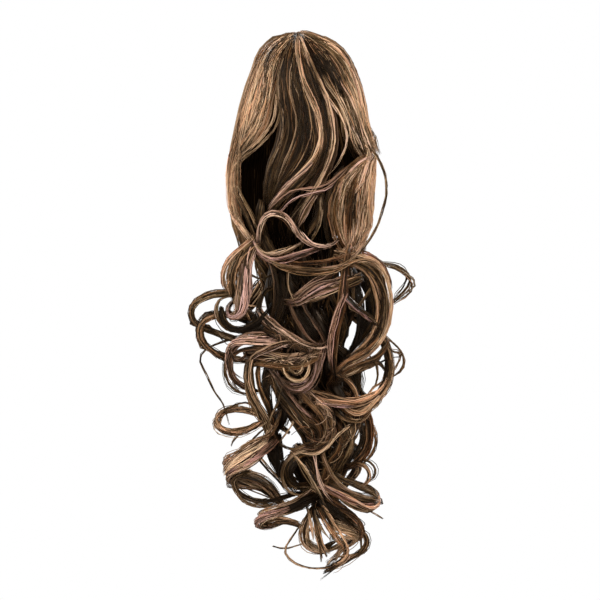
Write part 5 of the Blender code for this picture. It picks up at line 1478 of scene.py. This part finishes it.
def grow_lock(tubes, rng, lock, points, style, least=6):
    """Strands along a lock's way: they fill its flat section, gather in clumps and end unevenly."""
    settings = bpy.context.scene.hairpiece
    normals, sideways = flat_sides(points)
    shares = np.linspace(0.0, 1.0, len(points))
    length = np.linalg.norm(np.diff(points, axis=0), axis=1).sum()
    size = fullness(shares, style.root, style.tip)
    count = 1
    if least > 1:
        count = max(least, round(lock.width * settings.strands_per_millimetre / style.coarse))
    angle = rng.uniform(0.0, 2 * np.pi, count)
    reach = np.sqrt(rng.uniform(0.12, 1.0, count))
    stray = rng.uniform(size=count) < settings.stray_share
    aside = 0.5 * lock.width * reach * np.cos(angle)
    out = 0.5 * lock.thickness * reach * np.sin(angle)
    aside, out, member, clumps = gather_clumps(rng, lock, style, shares, length, aside, out)

    frizz = settings.frizz / MM
    phase = rng.uniform(0.0, 2 * np.pi, (count, 2))
    rate = length / rng.uniform(*FRIZZ_WAVES, (count, 2))
    wander = np.sin(2 * np.pi * rate[:, None, :] * shares[None, :, None] + phase[:, None, :])
    leave = np.where(stray, rng.uniform(*STRAY_LEAVES, count), 0.0)[:, None]
    leave = leave * np.sin(np.pi * shares)[None, :]
    turn = rng.uniform(0.0, 2 * np.pi, count)[:, None]
    aside = aside * size + frizz * wander[:, :, 0] + leave * np.cos(turn)
    out = out * size + frizz * wander[:, :, 1] + leave * np.sin(turn)
    out = out - style.cup * lock.thickness * (2.0 * aside / lock.width) ** 2

    last = 1.0 - style.ends * rng.beta(1.0, 2.2, count)
    first = LATEST_START * rng.uniform(size=count)
    parts = first[:, None] + (last - first)[:, None] * shares[None, :]
    centres = points[None] + aside[..., None] * sideways[None] + out[..., None] * normals[None]
    row = np.arange(count)[:, None]
    low, part = places_along(len(shares), parts)
    centres = centres[row, low] * (1.0 - part) + centres[row, low + 1] * part
    out_axis = unit(normals[low] * (1.0 - part) + normals[low + 1] * part)
    side_axis = unit(sideways[low] * (1.0 - part) + sideways[low + 1] * part)

    taper = np.clip((1.0 - shares) / TIP_TAPER, LEAST_TIP, 1.0)[None, :]
    radii = style.coarse * settings.strand_radius / MM * rng.uniform(*RADIUS_SPREAD, count)[:, None] * taper
    tubes.add_strands(
        centres, radii, out_axis, side_axis, parts * length * MM,
        **strand_looks(rng, lock, style, member, clumps, centres))


def places_along(count, parts):
    """The point before each share of the way, and how far on from it to the next point the share lies."""
    place_in = parts * (count - 1)
    low = np.clip(np.floor(place_in).astype(int), 0, count - 2)
    return low, (place_in - low)[..., None]


def add_body(tubes, rng, lock, points, style):
    """A lock's inner body, painted dark as the shade inside the lock, fluted like packed strands."""
    normals, sideways = flat_sides(points)
    shares = np.linspace(0.0, 1.0, len(points))
    size = fullness(shares, style.root, style.tip) * style.body
    size[0] *= BODY_ROOT
    size[-1] *= BODY_TIP
    angles = np.arange(BODY_SIDES) * 2 * np.pi / BODY_SIDES
    flute = 1.0 - BODY_FLUTE * (np.arange(BODY_SIDES) % 2)
    out = 0.5 * lock.thickness * np.cos(angles) * flute
    aside = 0.5 * lock.width * np.sin(angles) * flute
    rings = (
        points[:, None, :]
        + (size[:, None] * out[None, :])[..., None] * normals[:, None, :]
        + (size[:, None] * aside[None, :])[..., None] * sideways[:, None, :]
    )
    length = np.linalg.norm(np.diff(points, axis=0), axis=1).sum()
    # Painted shade: the body is far darker than its lock.
    shade = with_painted_light(np.array([[BODY_PAINTED_SHADE_SHARE * lock.shade]]), points[None])
    tubes.add(
        rings[None], (shares * length * MM)[None], shade=np.minimum(shade, BODY_PAINTED_SHADE_MOST),
        copper=np.array([lock.copper]), rose=np.array([lock.rose]), lot=rng.uniform(size=1))


def crown_front(across, down):
    """How far forward the crown's outline stands at a point of the front view."""
    left, right = read_table(CROWN_OUTLINE, "left", down), read_table(CROWN_OUTLINE, "right", down)
    share = min(1.0, abs(across - 0.5 * (left + right)) / (0.5 * (right - left)))
    rounded = (1.0 - share**CROWN_ROUNDNESS) ** (1.0 / CROWN_ROUNDNESS)
    return read_table(CROWN_OUTLINE, "front", down) * rounded


def combed_way(lock):
    """A combed lock's points: its charted way, laid just under the crown's outline."""
    points = []
    if lock.way[0][1] < LAST_ROOT_DOWN:
        points.append(place(*PARTING_ROOT))
    for across, down, *sunk in lock.way:
        front = crown_front(across, down) - 0.5 * lock.thickness + lock.lift - sum(sunk)
        points.append(place(across, down, max(front, LEAST_FRONT)))
    return points


def ringlet_way(ringlet):
    """A ringlet's points: a coil round the line from its start to its end, opening out from its root."""
    start, end = place(*ringlet.start), place(*ringlet.end)
    count = round(ringlet.turns * POINTS_PER_TURN)
    points = []
    for k in range(count + 1):
        share = k / count
        angle = math.radians(ringlet.angle) + 2 * math.pi * ringlet.turns * share
        radius = ringlet.radius * min(1.0, RINGLET_ROOT + RINGLET_OPENING * share)
        turn = radius * np.array([math.cos(angle), math.sin(angle), 0.0])
        points.append(start + (end - start) * share + turn)
    return points


def charted_way(lock):
    return [place(*point) for point in lock.way]


def tucked_way(lock):
    """A fine curl's points. Over the core it has a root that comes out of the hair below it."""
    points = charted_way(lock)
    across, down = lock.way[0][:2]
    middle, half = core_at(down)[:2]
    if abs(across - middle) > half:
        return points
    root = points[0] + ROOT_BACK * unit(points[0] - points[1]) + np.array([0.0, ROOT_DEPTH, 0.0])
    return [root, *points]


def hollow_depth(across, down):
    """How deep the backing is dented at a point of the front view."""
    depth = 0.0
    for hollow in HOLLOWS:
        away = math.hypot(
            (across - hollow.across) / hollow.half_width, (down - hollow.down) / hollow.half_height)
        if away < 1.0:
            depth = max(depth, hollow.depth * (1.0 - away**2) ** 1.5)
    return depth


def crown_point(angle, down, inset):
    """A point this far inside the crown's outline, at an angle round from the front."""
    left, right = read_table(CROWN_OUTLINE, "left", down), read_table(CROWN_OUTLINE, "right", down)
    middle, half = 0.5 * (left + right), 0.5 * (right - left)
    narrow = min(1.0, half / NARROW_HALF_WIDTH)
    inset *= narrow
    across = middle + (half - inset) * math.sin(angle)
    if abs(angle) > math.pi / 2:
        reach = math.cos(angle) * CROWN_BACK * narrow
    else:
        reach = (read_table(CROWN_OUTLINE, "front", down) - inset) * math.cos(angle) ** FRONT_SQUARENESS
        reach -= hollow_depth(across, down) * math.cos(angle)
    return place(across, down, reach)


def cavity_ring(down, gap, sides):
    """One level of the room inside the crown, drawn in by a gap, as a closed ring."""
    half, front, back = (straight_between(CAVITY, field, down) - gap for field in CavityRow._fields[1:])
    ring = []
    for angle in np.arange(sides) * 2 * math.pi / sides:
        depth = front if math.cos(angle) > 0 else back
        y = -CAVITY_CENTRE_BACK - (depth + CAVITY_CENTRE_BACK) * math.cos(angle)
        ring.append(np.array([half * math.sin(angle), y, CLIP_DOWN - down]))
    return ring


def grow_dome(tubes, rng, count, low_angle, high_angle, insets, shade):
    """Strands of the crown's under hair, from the parting down the dome at nearly constant angles."""
    settings = bpy.context.scene.hairpiece
    downs = np.concatenate([DOME_TOP_DOWNS, np.linspace(DOME_SIDE_DOWN, CROWN_END_DOWN, DOME_SIDE_LEVELS)])
    grid_angles = np.radians(np.linspace(low_angle, high_angle, DOME_COLUMNS + 1))
    surface = np.array([
        [[crown_point(angle, down, inset) for down in downs] for angle in grid_angles] for inset in insets])
    angle_part = rng.uniform(0.0, DOME_COLUMNS, count)
    clump = (angle_part * DOME_CLUMPS / DOME_COLUMNS + rng.normal(0.0, 0.5, count)).astype(int)
    clump = np.clip(clump, 0, DOME_CLUMPS - 1)
    fall = np.linspace(0.0, 1.0, len(downs))[None, :]
    drift = rng.uniform(-DOME_DRIFT, DOME_DRIFT, (count, 1)) * fall
    wave = DOME_WAVE * np.sin(rng.uniform(*WAVE_STARTS, count)[:, None] + 7.0 * fall)
    clump_starts = rng.uniform(*WAVE_STARTS, DOME_CLUMPS)[clump][:, None]
    clump_rates = rng.uniform(*DOME_CLUMP_RATES, DOME_CLUMPS)[clump][:, None]
    clump_wave = DOME_CLUMP_WAVE * np.sin(clump_starts + clump_rates * fall) * fall
    part = np.clip(angle_part[:, None] + drift + wave + clump_wave, 0.0, DOME_COLUMNS - 0.001)
    low = part.astype(int)
    share = (part - low)[..., None]
    depth = rng.uniform(0.0, 1.0, count)[:, None, None]
    level = np.arange(len(downs))[None, :]
    last = rng.uniform(*DOME_CLUMP_ENDS, DOME_CLUMPS)[clump] + rng.uniform(*DOME_ENDS, count)
    outer = surface[0][low, level] * (1.0 - share) + surface[0][low + 1, level] * share
    inner = surface[1][low, level] * (1.0 - share) + surface[1][low + 1, level] * share
    centres = outer * (1.0 - depth) + inner * depth
    centres[:, -1, 2] += last
    out, aside = strand_axes(centres, centres * np.array([1.0, 1.3, 0.0]) + np.array([0.0, 0.0, 6.0]))
    taper = np.clip((1.0 - np.linspace(0.0, 1.0, len(downs))) / 0.1, 0.35, 1.0)[None, :]
    radii = DOME_STRAND_SIZE * settings.strand_radius / MM * rng.uniform(*RADIUS_SPREAD, count)[:, None]
    radii = radii * taper
    streak_places = np.linspace(0.0, DOME_COLUMNS, DOME_STREAKS)
    streak = np.interp(angle_part, streak_places, rng.standard_normal(DOME_STREAKS))
    run = np.broadcast_to(run_along(centres[0]) * MM, (count, len(downs)))
    tone = shade + DOME_STREAK_TONE * streak + DOME_CLUMP_TONE * rng.standard_normal(DOME_CLUMPS)[clump]
    tone = tone + DOME_STRAND_TONE * rng.standard_normal(count)
    tubes.add_strands(
        centres, radii, out, aside, run, shade=with_painted_light(tone[:, None], centres),
        copper=dyes(rng, MIDDLE_COPPER, COPPER_SPREAD, count), rose=dyes(rng, 0.0, 0.08, count),
        lot=rng.uniform(size=count))


def in_place(obj, slot, *nodes):
    """Puts a finished piece on the frame."""
    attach(obj, "root")
    if nodes:
        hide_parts(*nodes)


def random_for(piece):
    """A random source of its own for each piece, so that a change to one leaves the others alone."""
    return np.random.default_rng([bpy.context.scene.hairpiece.seed, *piece.encode()])


def grow_piece(name, slot, locks, way_of, style, least=6):
    """One piece: the strands and the inner bodies of a group of locks."""
    rng = random_for(name)
    tubes = TubeMesh(name)
    for lock in locks:
        points = smooth_way(way_of(lock))
        if style.body:
            add_body(tubes, rng, lock, points, style)
        grow_lock(tubes, rng, lock, points, style, least)
    in_place(tubes.build(hair_fibre()), slot)


def loft_object(name, rings, material):
    """A closed body through rings of equal length."""
    tubes = TubeMesh(name)
    rings = np.array(rings)[None]
    run = np.linspace(0.0, 1.0, rings.shape[1])[None]
    one = np.array([1.0])
    # Painted shade: the body is near black, as the shade deep inside the hair.
    tubes.add(rings, run * 0.2, shade=one * 0.10, copper=one * 0.1, rose=one * 0.0, lot=one * 0.5)
    return tubes.build(material)


class HAIRPIECE_OT_claw_clip(bpy.types.Operator):
    """Finish the claw clip that holds the hairpiece"""

    bl_idname = "hairpiece.claw_clip"
    bl_label = "Claw Clip"

    def execute(self, context):
        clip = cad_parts["claw_clip"]
        clip.data.materials.clear()
        clip.data.materials.append(clip_material())
        clip.data.shade_smooth()
        clip.data.set_sharp_from_angle(angle=CLIP_EDGE_ANGLE)
        rounding = clip.modifiers.new("rounding", "BEVEL")
        rounding.width = CLIP_ROUNDING
        rounding.segments = 2
        rounding.limit_method = "ANGLE"
        rounding.angle_limit = CLIP_EDGE_ANGLE
        return {"FINISHED"}


class HAIRPIECE_OT_crown(bpy.types.Operator):
    """Grow the combed crown over the clip"""

    bl_idname = "hairpiece.crown"
    bl_label = "Crown"

    def execute(self, context):
        self.backing()
        # The under hair at the front is painted near black, as the shade under the combed locks and in the
        # hollows.
        for name, low, high, shade, insets, material in (
            ("crown_under_left", -74.0, 0.0, 0.10, (5.5, 8.0), under_hair),
            ("crown_under_right", 0.0, 74.0, 0.10, (5.5, 8.0), under_hair),
            ("crown_side_left", -141.0, -62.0, 0.46, (0.5, 6.0), hair_fibre),
            ("crown_side_right", 62.0, 141.0, 0.46, (0.5, 6.0), hair_fibre),
        ):
            rng = random_for(name)
            tubes = TubeMesh(name)
            grow_dome(tubes, rng, context.scene.hairpiece.crown_strands // 4, low, high, insets, shade)
            in_place(tubes.build(material()), "crown_fibre")
        grow_piece("crown_combed", "crown_fibre", COMBED_LOCKS, combed_way, COMBED_STYLE)
        for name, locks in (
            ("crown_left_highlights", FINE_LEFT_LOCKS),
            ("crown_centre_highlights", FINE_CENTRE_LOCKS),
            ("crown_right_highlights", FINE_RIGHT_LOCKS),
        ):
            grow_piece(name, "crown_fibre", locks, combed_way, HIGHLIGHT_STYLE)
        self.spread_hair()
        self.lining()
        return {"FINISHED"}

    def lining(self):
        """The roots of the hair on the walls of the crown's room, seen from behind."""
        rng = random_for("crown_lining")
        tubes = TubeMesh("crown_lining")
        downs = np.linspace(*LINING_DOWNS, 12)
        rings = np.array([cavity_ring(down, LINING_GAP, LINING_SIDES) for down in downs])
        lines = rings.transpose(1, 0, 2)
        walls = [k for k in range(LINING_SIDES) if lines[k, 0, 1] < LINING_BACK]
        for _ in range(LINING_STRANDS):
            k = walls[rng.integers(len(walls) - 1)]
            share = rng.uniform()
            way = lines[k] * (1.0 - share) + lines[(k + 1) % LINING_SIDES] * share
            shade = float(np.clip(rng.normal(0.3, 0.1), 0.1, 0.6))
            hair = Charted("hair", 1.0, 1.0, shade, 0.2, 0.0, ())
            grow_lock(tubes, rng, hair, way, SINGLE_STYLE, least=1)
        in_place(tubes.build(hair_fibre()), "crown_fibre")

    def spread_hair(self):
        """Fine wavy hair over the combed locks, spread evenly between each pair of neighbours."""
        rng = random_for("crown_spread")
        tubes = TubeMesh("crown_spread")
        ways = {}
        for lock in COMBED_LOCKS:
            ways[lock.name] = spaced(np.array([point[:2] for point in lock.way], float), SPREAD_POINTS)
        along = np.linspace(0.0, 1.0, SPREAD_POINTS)
        for spread in SPREADS:
            for _ in range(spread.strands):
                share = rng.uniform(-0.1, 1.1)
                way = ways[spread.first] * (1.0 - share) + ways[spread.second] * share
                turns, start = rng.uniform(1.5, 4.0), rng.uniform(0.0, 2 * np.pi)
                wave = rng.uniform(0.3, 1.6) * np.sin(2 * np.pi * turns * along + start)
                way[:, 0] += wave * np.sin(np.pi * along)
                last = rng.integers(SPREAD_POINTS - 4, SPREAD_POINTS + 1)
                lift = spread.lift + rng.uniform(-1.0, 1.0)
                shade = float(np.clip(rng.normal(spread.shade, 0.15), 0.08, 0.92))
                copper = float(rng.choice((0.0, 0.1, 0.6)))
                hair = Combed("hair", 1.0, 1.0, lift, shade, copper, 0.0, tuple(map(tuple, way[:last])))
                grow_lock(tubes, rng, hair, smooth_way(combed_way(hair)), SINGLE_STYLE, least=1)
        in_place(tubes.build(hair_fibre()), "crown_fibre")

    def backing(self):
        """The under hair's body, painted near black as the shade deep in the crown, hollowed for the clip and
        open at the back.
        """
        levels = (*BACKING_LEVELS, CROWN_END_DOWN - BACKING_SHORTER)
        angles = np.radians(np.linspace(-CROWN_RIM_ANGLE, CROWN_RIM_ANGLE, BACKING_POINTS))
        rings = [[crown_point(angle, down, BACKING_INSET) for angle in angles] for down in levels]
        body = loft_object("crown_backing", rings, under_hair())
        downs = [row.down for row in CAVITY] + [CROWN_END_DOWN + 20.0]
        rings = [cavity_ring(down, 0.0, ROOM_SIDES) for down in downs]
        room = loft_object("crown_room", rings, under_hair())
        for obj in (body, room):
            face_outwards(obj)
        cut = body.modifiers.new("room", "BOOLEAN")
        cut.operation = "DIFFERENCE"
        cut.solver = "EXACT"
        cut.object = room
        bpy.context.view_layer.objects.active = body
        bpy.ops.object.modifier_apply(modifier=cut.name)
        bpy.data.objects.remove(room)
        in_place(body, "crown_fibre", "crown_hair")


class HAIRPIECE_OT_tail(bpy.types.Operator):
    """Grow the core, the ringlets and the loose hairs of the tail"""

    bl_idname = "hairpiece.tail"
    bl_label = "Tail"

    def execute(self, context):
        self.core()
        self.head()
        for name, locks in (
            ("tail_left_curls", LEFT_LOCKS),
            ("tail_centre_curls", CENTRE_LOCKS),
            ("tail_right_curls", RIGHT_LOCKS),
            ("tail_low_curls", LOW_LOCKS),
            ("tail_tip_curls", TIP_LOCKS),
        ):
            grow_piece(name, "tail_fibre", locks, charted_way, CURL_STYLE)
        for name, locks in (
            ("tail_left_fine_curls", FINE_LEFT_CURLS),
            ("tail_centre_fine_curls", FINE_CENTRE_CURLS),
            ("tail_right_fine_curls", FINE_RIGHT_CURLS),
            ("tail_low_fine_curls", FINE_LOW_CURLS),
            ("tail_tip_fine_curls", FINE_TIP_CURLS),
        ):
            grow_piece(name, "tail_fibre", locks, tucked_way, FINE_STYLE)
        grow_piece("tail_under_curls", "tail_fibre", UNDER_RINGLETS, ringlet_way, UNDER_STYLE)
        grow_piece("tail_back_curls", "tail_fibre", BACK_RINGLETS, ringlet_way, UNDER_STYLE)
        self.core_strands()
        self.wisps()
        self.tangle()
        grow_piece("tail_tendrils", "tail_fibre", TENDRILS, charted_way, TENDRIL_STYLE, least=5)
        return {"FINISHED"}

    def core(self):
        """The body that the ringlets lie on, painted dark as the shade inside the tail."""
        rings = []
        for down in np.arange(CORE[0].down, CORE[-1].down + 1.0, CORE_STEP):
            across, half, front, back = core_at(down)
            ring = []
            for angle in np.arange(CORE_SIDES) * 2 * math.pi / CORE_SIDES:
                wave = 0.80 + 0.07 * math.cos(4 * angle + down / 24.0)
                wave += 0.03 * math.cos(13 * angle - down / 9.0)
                wave *= min(1.0, (CORE[-1].down + 1.0 - down) / CORE_TAPER) ** 0.5
                reach = (front if math.cos(angle) > 0 else back) * wave * math.cos(angle)
                ring.append(place(across + half * wave * math.sin(angle), down, reach))
            rings.append(ring)
        body = loft_object("tail_core", rings, under_hair())
        face_outwards(body)
        in_place(body, "tail_fibre", "tail_hair")

    def core_strands(self):
        """Wavy hair that hangs close round the core."""
        settings = bpy.context.scene.hairpiece
        rng = random_for("tail_core_hair")
        tubes = TubeMesh("tail_core_hair")
        one_each = (CORE_STRANDS, 1)
        downs = np.linspace(CORE[0].down + 6.0, CORE[-1].down + 4.0, CORE_STRAND_LEVELS)
        middle, half, front, back = core_at(downs)
        wave = downs[None, :] / rng.uniform(*CORE_STRAND_WAVES, one_each)
        sway = CORE_STRAND_SWAY * np.sin(wave + rng.uniform(*WAVE_STARTS, one_each))
        angle = rng.uniform(0.0, 2 * np.pi, one_each) + sway
        swell = 0.88 + 0.10 * np.sin(downs[None, :] / 11.0 + 3.0 * angle)
        swell = swell + rng.uniform(-0.05, 0.08, one_each)
        depth = np.where(np.cos(angle) > 0, front, back)
        centres = np.stack([
            middle - PARTING_ACROSS + half * swell * np.sin(angle),
            -depth * swell * np.cos(angle),
            np.broadcast_to(CLIP_DOWN - downs, angle.shape),
        ], axis=-1)
        out, aside = strand_axes(centres, centres - centres.mean(axis=(0, 1)) * np.array([1.0, 1.0, 0.0]))
        radii = np.broadcast_to(CORE_STRAND_SIZE * settings.strand_radius / MM, angle.shape)
        run = np.broadcast_to((downs - downs[0])[None, :] * MM, angle.shape)
        tone = 0.34 + 0.12 * np.sin(7.0 * angle[:, :1]) + 0.10 * rng.standard_normal(one_each)
        tubes.add_strands(
            centres, radii, out, aside, run,
            shade=np.clip(with_painted_light(tone, centres) + 0.08, LEAST_SHADE, 1.0),
            copper=dyes(rng, MIDDLE_COPPER, COPPER_SPREAD, CORE_STRANDS),
            rose=np.zeros(CORE_STRANDS), lot=rng.uniform(size=CORE_STRANDS))
        in_place(tubes.build(hair_fibre()), "tail_fibre")

    def tangle(self):
        """Short bent hairs that cross the curls at all angles."""
        rng = random_for("tail_tangle")
        tubes = TubeMesh("tail_tangle")
        ways = []
        for lock in CENTRE_LOCKS + RIGHT_LOCKS + LOW_LOCKS:
            if lock.width >= TANGLE_LEAST_WIDTH and lock.shade >= TANGLE_LEAST_SHADE:
                ways.append((lock, smooth_way(charted_way(lock))))
        while len(tubes.blocks) < TANGLE_HAIRS:
            lock, points = ways[rng.integers(len(ways))]
            k = rng.integers(1, len(points) - 1)
            if not self.over_core(points[k]):
                continue
            ahead = unit(points[k + 1] - points[k - 1])
            out = unit(points[k] * np.array([0.6, 1.0, 0.0]) + np.array([0.0, -4.0, 0.0]))
            aside = unit(np.cross(ahead, out))
            slant = rng.normal(0.0, TANGLE_SLANT)
            heading = math.cos(slant) * ahead + math.sin(slant) * aside
            bend = rng.uniform(*TANGLE_BENDS)
            sweep = rng.uniform(*TANGLE_SWEEPS) * rng.choice((-1.0, 1.0))
            turn = np.linspace(-0.5, 0.5, 11)[:, None] * sweep
            veer = unit(np.cross(heading, out) + 0.3 * rng.normal(size=3))
            base = points[k] + out * (0.5 * lock.thickness + rng.uniform(*TANGLE_LIFTS))
            way = base + bend * (np.sin(turn) * heading + (1.0 - np.cos(turn)) * veer)
            way -= TANGLE_ENDS_SUNK * (2.0 * turn / sweep) ** 2 * out
            shade = float(np.clip(lock.shade + rng.normal(-0.08, 0.18), 0.1, 0.9))
            hair = lock._replace(width=1.0, thickness=1.0, shade=shade)
            grow_lock(tubes, rng, hair, way, SINGLE_STYLE, least=1)
        in_place(tubes.build(hair_fibre()), "tail_fibre")

    def over_core(self, point):
        """Whether a curl's point lies in front of the core and away from the open hollow on the left."""
        across, down = point[0] + PARTING_ACROSS, CLIP_DOWN - point[2]
        middle, half = core_at(down)[:2]
        if abs(across - middle) > half - TANGLE_INSIDE:
            return False
        if -point[1] < TANGLE_FRONT or down < TANGLE_TOP_DOWN:
            return False
        return not (across < TANGLE_OPEN_LEFT and down > TANGLE_OPEN_DOWN)

    def wisps(self):
        """Hairs that part from the curls and wander beside them."""
        for name, locks in (
            ("tail_upper_wisps", LEFT_LOCKS + CENTRE_LOCKS + RIGHT_LOCKS),
            ("tail_lower_wisps", LOW_LOCKS + TIP_LOCKS),
        ):
            rng = random_for(name)
            tubes = TubeMesh(name)
            for _ in range(WISPS_PER_PIECE):
                lock = locks[rng.integers(len(locks))]
                points = smooth_way(charted_way(lock))
                first = rng.integers(0, max(1, len(points) // 2))
                last = first + rng.integers(*WISP_STEPS)
                part = points[first:last]
                leave = rng.normal(size=3) * np.array([1.0, 0.8, 1.0])
                along = np.linspace(0.0, 1.0, len(part))[:, None]
                part = part + leave * WISP_LEAVES * along
                part = part + leave[::-1] * WISP_WAVE * np.sin(2.4 * np.pi * along)
                wisp = lock._replace(width=1.8, thickness=1.6, shade=float(rng.uniform(0.2, 0.75)))
                grow_lock(tubes, rng, wisp, part, TENDRIL_STYLE, least=3)
            in_place(tubes.build(hair_fibre()), "tail_fibre")

    def head_rings(self, downs, gap):
        """The levels of the head, which opens out from where it is gathered until it fills the room."""
        opening = (CLIP_FOOT_DOWN, CLIP_FOOT_DOWN + HEAD_OPENING)
        gathered = np.interp(downs, opening, (HEAD_GATHERED, 1.0))[:, None]
        rings = np.array([cavity_ring(min(down, CAVITY[-1].down), gap, ROOM_SIDES) for down in downs])
        rings[:, :, 2] = (CLIP_DOWN - downs)[:, None]
        rings[:, :, :2] *= gathered[..., None]
        return rings

    def head(self):
        """The hair that runs from the clip's foot down inside the crown, seen from behind."""
        settings = bpy.context.scene.hairpiece
        rng = random_for("tail_head")
        tubes = TubeMesh("tail_head")
        downs = np.linspace(CLIP_FOOT_DOWN, CROWN_END_DOWN + HEAD_BELOW, HEAD_LEVELS)
        run = ((downs - downs[0]) * MM)[None]
        one = np.array([1.0])
        body, surface = (self.head_rings(downs, gap) for gap in HEAD_GAPS)
        # Painted shade: the head's inner body is near black, as the shade inside the crown's room.
        tubes.add(body[None], run, shade=one * 0.14, copper=one * 0.1, rose=one * 0.0, lot=one * 0.3)
        spot = rng.integers(0, ROOM_SIDES, HEAD_STRANDS)
        nudge = rng.uniform(0.0, 1.0, HEAD_STRANDS)[:, None, None]
        lines = surface.transpose(1, 0, 2)
        centres = lines[spot] * (1.0 - nudge) + lines[(spot + 1) % ROOM_SIDES] * nudge
        out, aside = strand_axes(centres, centres * np.array([1.0, 1.0, 0.0]))
        radii = np.broadcast_to(HEAD_STRAND_SIZE * settings.strand_radius / MM, (HEAD_STRANDS, len(downs)))
        tubes.add_strands(
            centres, radii, out, aside, np.broadcast_to(run, (HEAD_STRANDS, len(downs))),
            shade=np.clip(0.4 + 0.12 * rng.standard_normal(HEAD_STRANDS), LEAST_SHADE, 1.0),
            copper=dyes(rng, MIDDLE_COPPER, COPPER_SPREAD, HEAD_STRANDS),
            rose=np.zeros(HEAD_STRANDS), lot=rng.uniform(size=HEAD_STRANDS))
        in_place(tubes.build(hair_fibre()), "tail_fibre")


def face_outwards(obj):
    """Turns a closed body's faces outwards."""
    bpy.ops.object.select_all(action="DESELECT")
    bpy.context.view_layer.objects.active = obj
    obj.select_set(True)
    bpy.ops.object.mode_set(mode="EDIT")
    bpy.ops.mesh.select_all(action="SELECT")
    bpy.ops.mesh.normals_make_consistent(inside=False)
    bpy.ops.object.mode_set(mode="OBJECT")
    obj.select_set(False)


class HAIRPIECE_OT_stage(bpy.types.Operator):
    """Set the floor, the softboxes, the white surroundings and the camera"""

    bl_idname = "hairpiece.stage"
    bl_label = "Stage"

    def execute(self, context):
        settings = context.scene.hairpiece
        aim = place(*VIEW_MIDDLE, 0.0) * MM
        self.floor(settings)
        for box in SOFTBOXES:
            self.softbox(box, aim, settings)
        self.surroundings(context)
        self.camera(context, settings, aim)
        context.scene.view_settings.view_transform = "Standard"
        return {"FINISHED"}

    def floor(self, settings):
        bpy.ops.mesh.primitive_plane_add(size=2.4, location=(0.0, 0.0, -settings.floor_drop))
        floor = bpy.context.object
        floor.name = "studio_floor"
        floor.data.materials.append(floor_material())

    def softbox(self, box, aim, settings):
        bpy.ops.object.light_add(type="AREA", location=box.place)
        light = bpy.context.object
        light.name = box.name
        light.data.shape = "SQUARE"
        light.data.size = box.side
        light.data.energy = box.share * (settings.fill_power if box.back else settings.key_power)
        light.rotation_euler = turned_to(box.place, aim)

    def surroundings(self, context):
        """White to the camera, and softer as a light."""
        world = bpy.data.worlds.new("white_studio")
        world.use_nodes = True
        tree = world.node_tree
        background = tree.nodes["Background"]
        background.inputs["Color"].default_value = (1.0, 1.0, 1.0, 1.0)
        rays = tree.nodes.new("ShaderNodeLightPath")
        strength = tree.nodes.new("ShaderNodeMix")
        strength.inputs[2].default_value = SURROUNDINGS_LIGHT
        strength.inputs[3].default_value = 1.0
        tree.links.new(rays.outputs["Is Camera Ray"], strength.inputs[0])
        tree.links.new(strength.outputs[0], background.inputs["Strength"])
        context.scene.world = world

    def camera(self, context, settings, aim):
        away = aim + np.array([0.0, -settings.camera_distance, 0.0])
        bpy.ops.object.camera_add(location=away, rotation=(math.pi / 2, 0.0, 0.0))
        camera = bpy.context.object
        camera.name = "front_camera"
        camera.data.sensor_width = 36.0
        camera.data.lens = camera.data.sensor_width * settings.camera_distance / (VIEW_WIDTH * MM)
        camera.data.clip_end = 200.0
        context.scene.camera = camera


def turned_to(start, target):
    """The rotation that points a lamp from one place to another."""
    return (Vector(target) - Vector(start)).to_track_quat("-Z", "Y").to_euler()


class HAIRPIECE_PT_panel(bpy.types.Panel):
    """The hairpiece's sizes, colours and steps"""

    bl_idname = "HAIRPIECE_PT_panel"
    bl_label = "Hairpiece"
    bl_space_type = "VIEW_3D"
    bl_region_type = "UI"
    bl_category = "Hairpiece"

    def draw(self, context):
        settings = context.scene.hairpiece
        for name in HairpieceSettings.__annotations__:
            self.layout.prop(settings, name)
        for operator in STEPS:
            self.layout.operator(operator.bl_idname)


STEPS = (HAIRPIECE_OT_claw_clip, HAIRPIECE_OT_crown, HAIRPIECE_OT_tail, HAIRPIECE_OT_stage)
CLASSES = (HairpieceSettings, *STEPS, HAIRPIECE_PT_panel)


def register():
    for item in CLASSES:
        bpy.utils.register_class(item)
    bpy.types.Scene.hairpiece = PointerProperty(type=HairpieceSettings)


def unregister():
    del bpy.types.Scene.hairpiece
    for item in reversed(CLASSES):
        bpy.utils.unregister_class(item)


def main():
    register()
    bpy.ops.hairpiece.claw_clip()
    bpy.ops.hairpiece.crown()
    bpy.ops.hairpiece.tail()
    bpy.ops.hairpiece.stage()


if __name__ == "__main__":
    main()
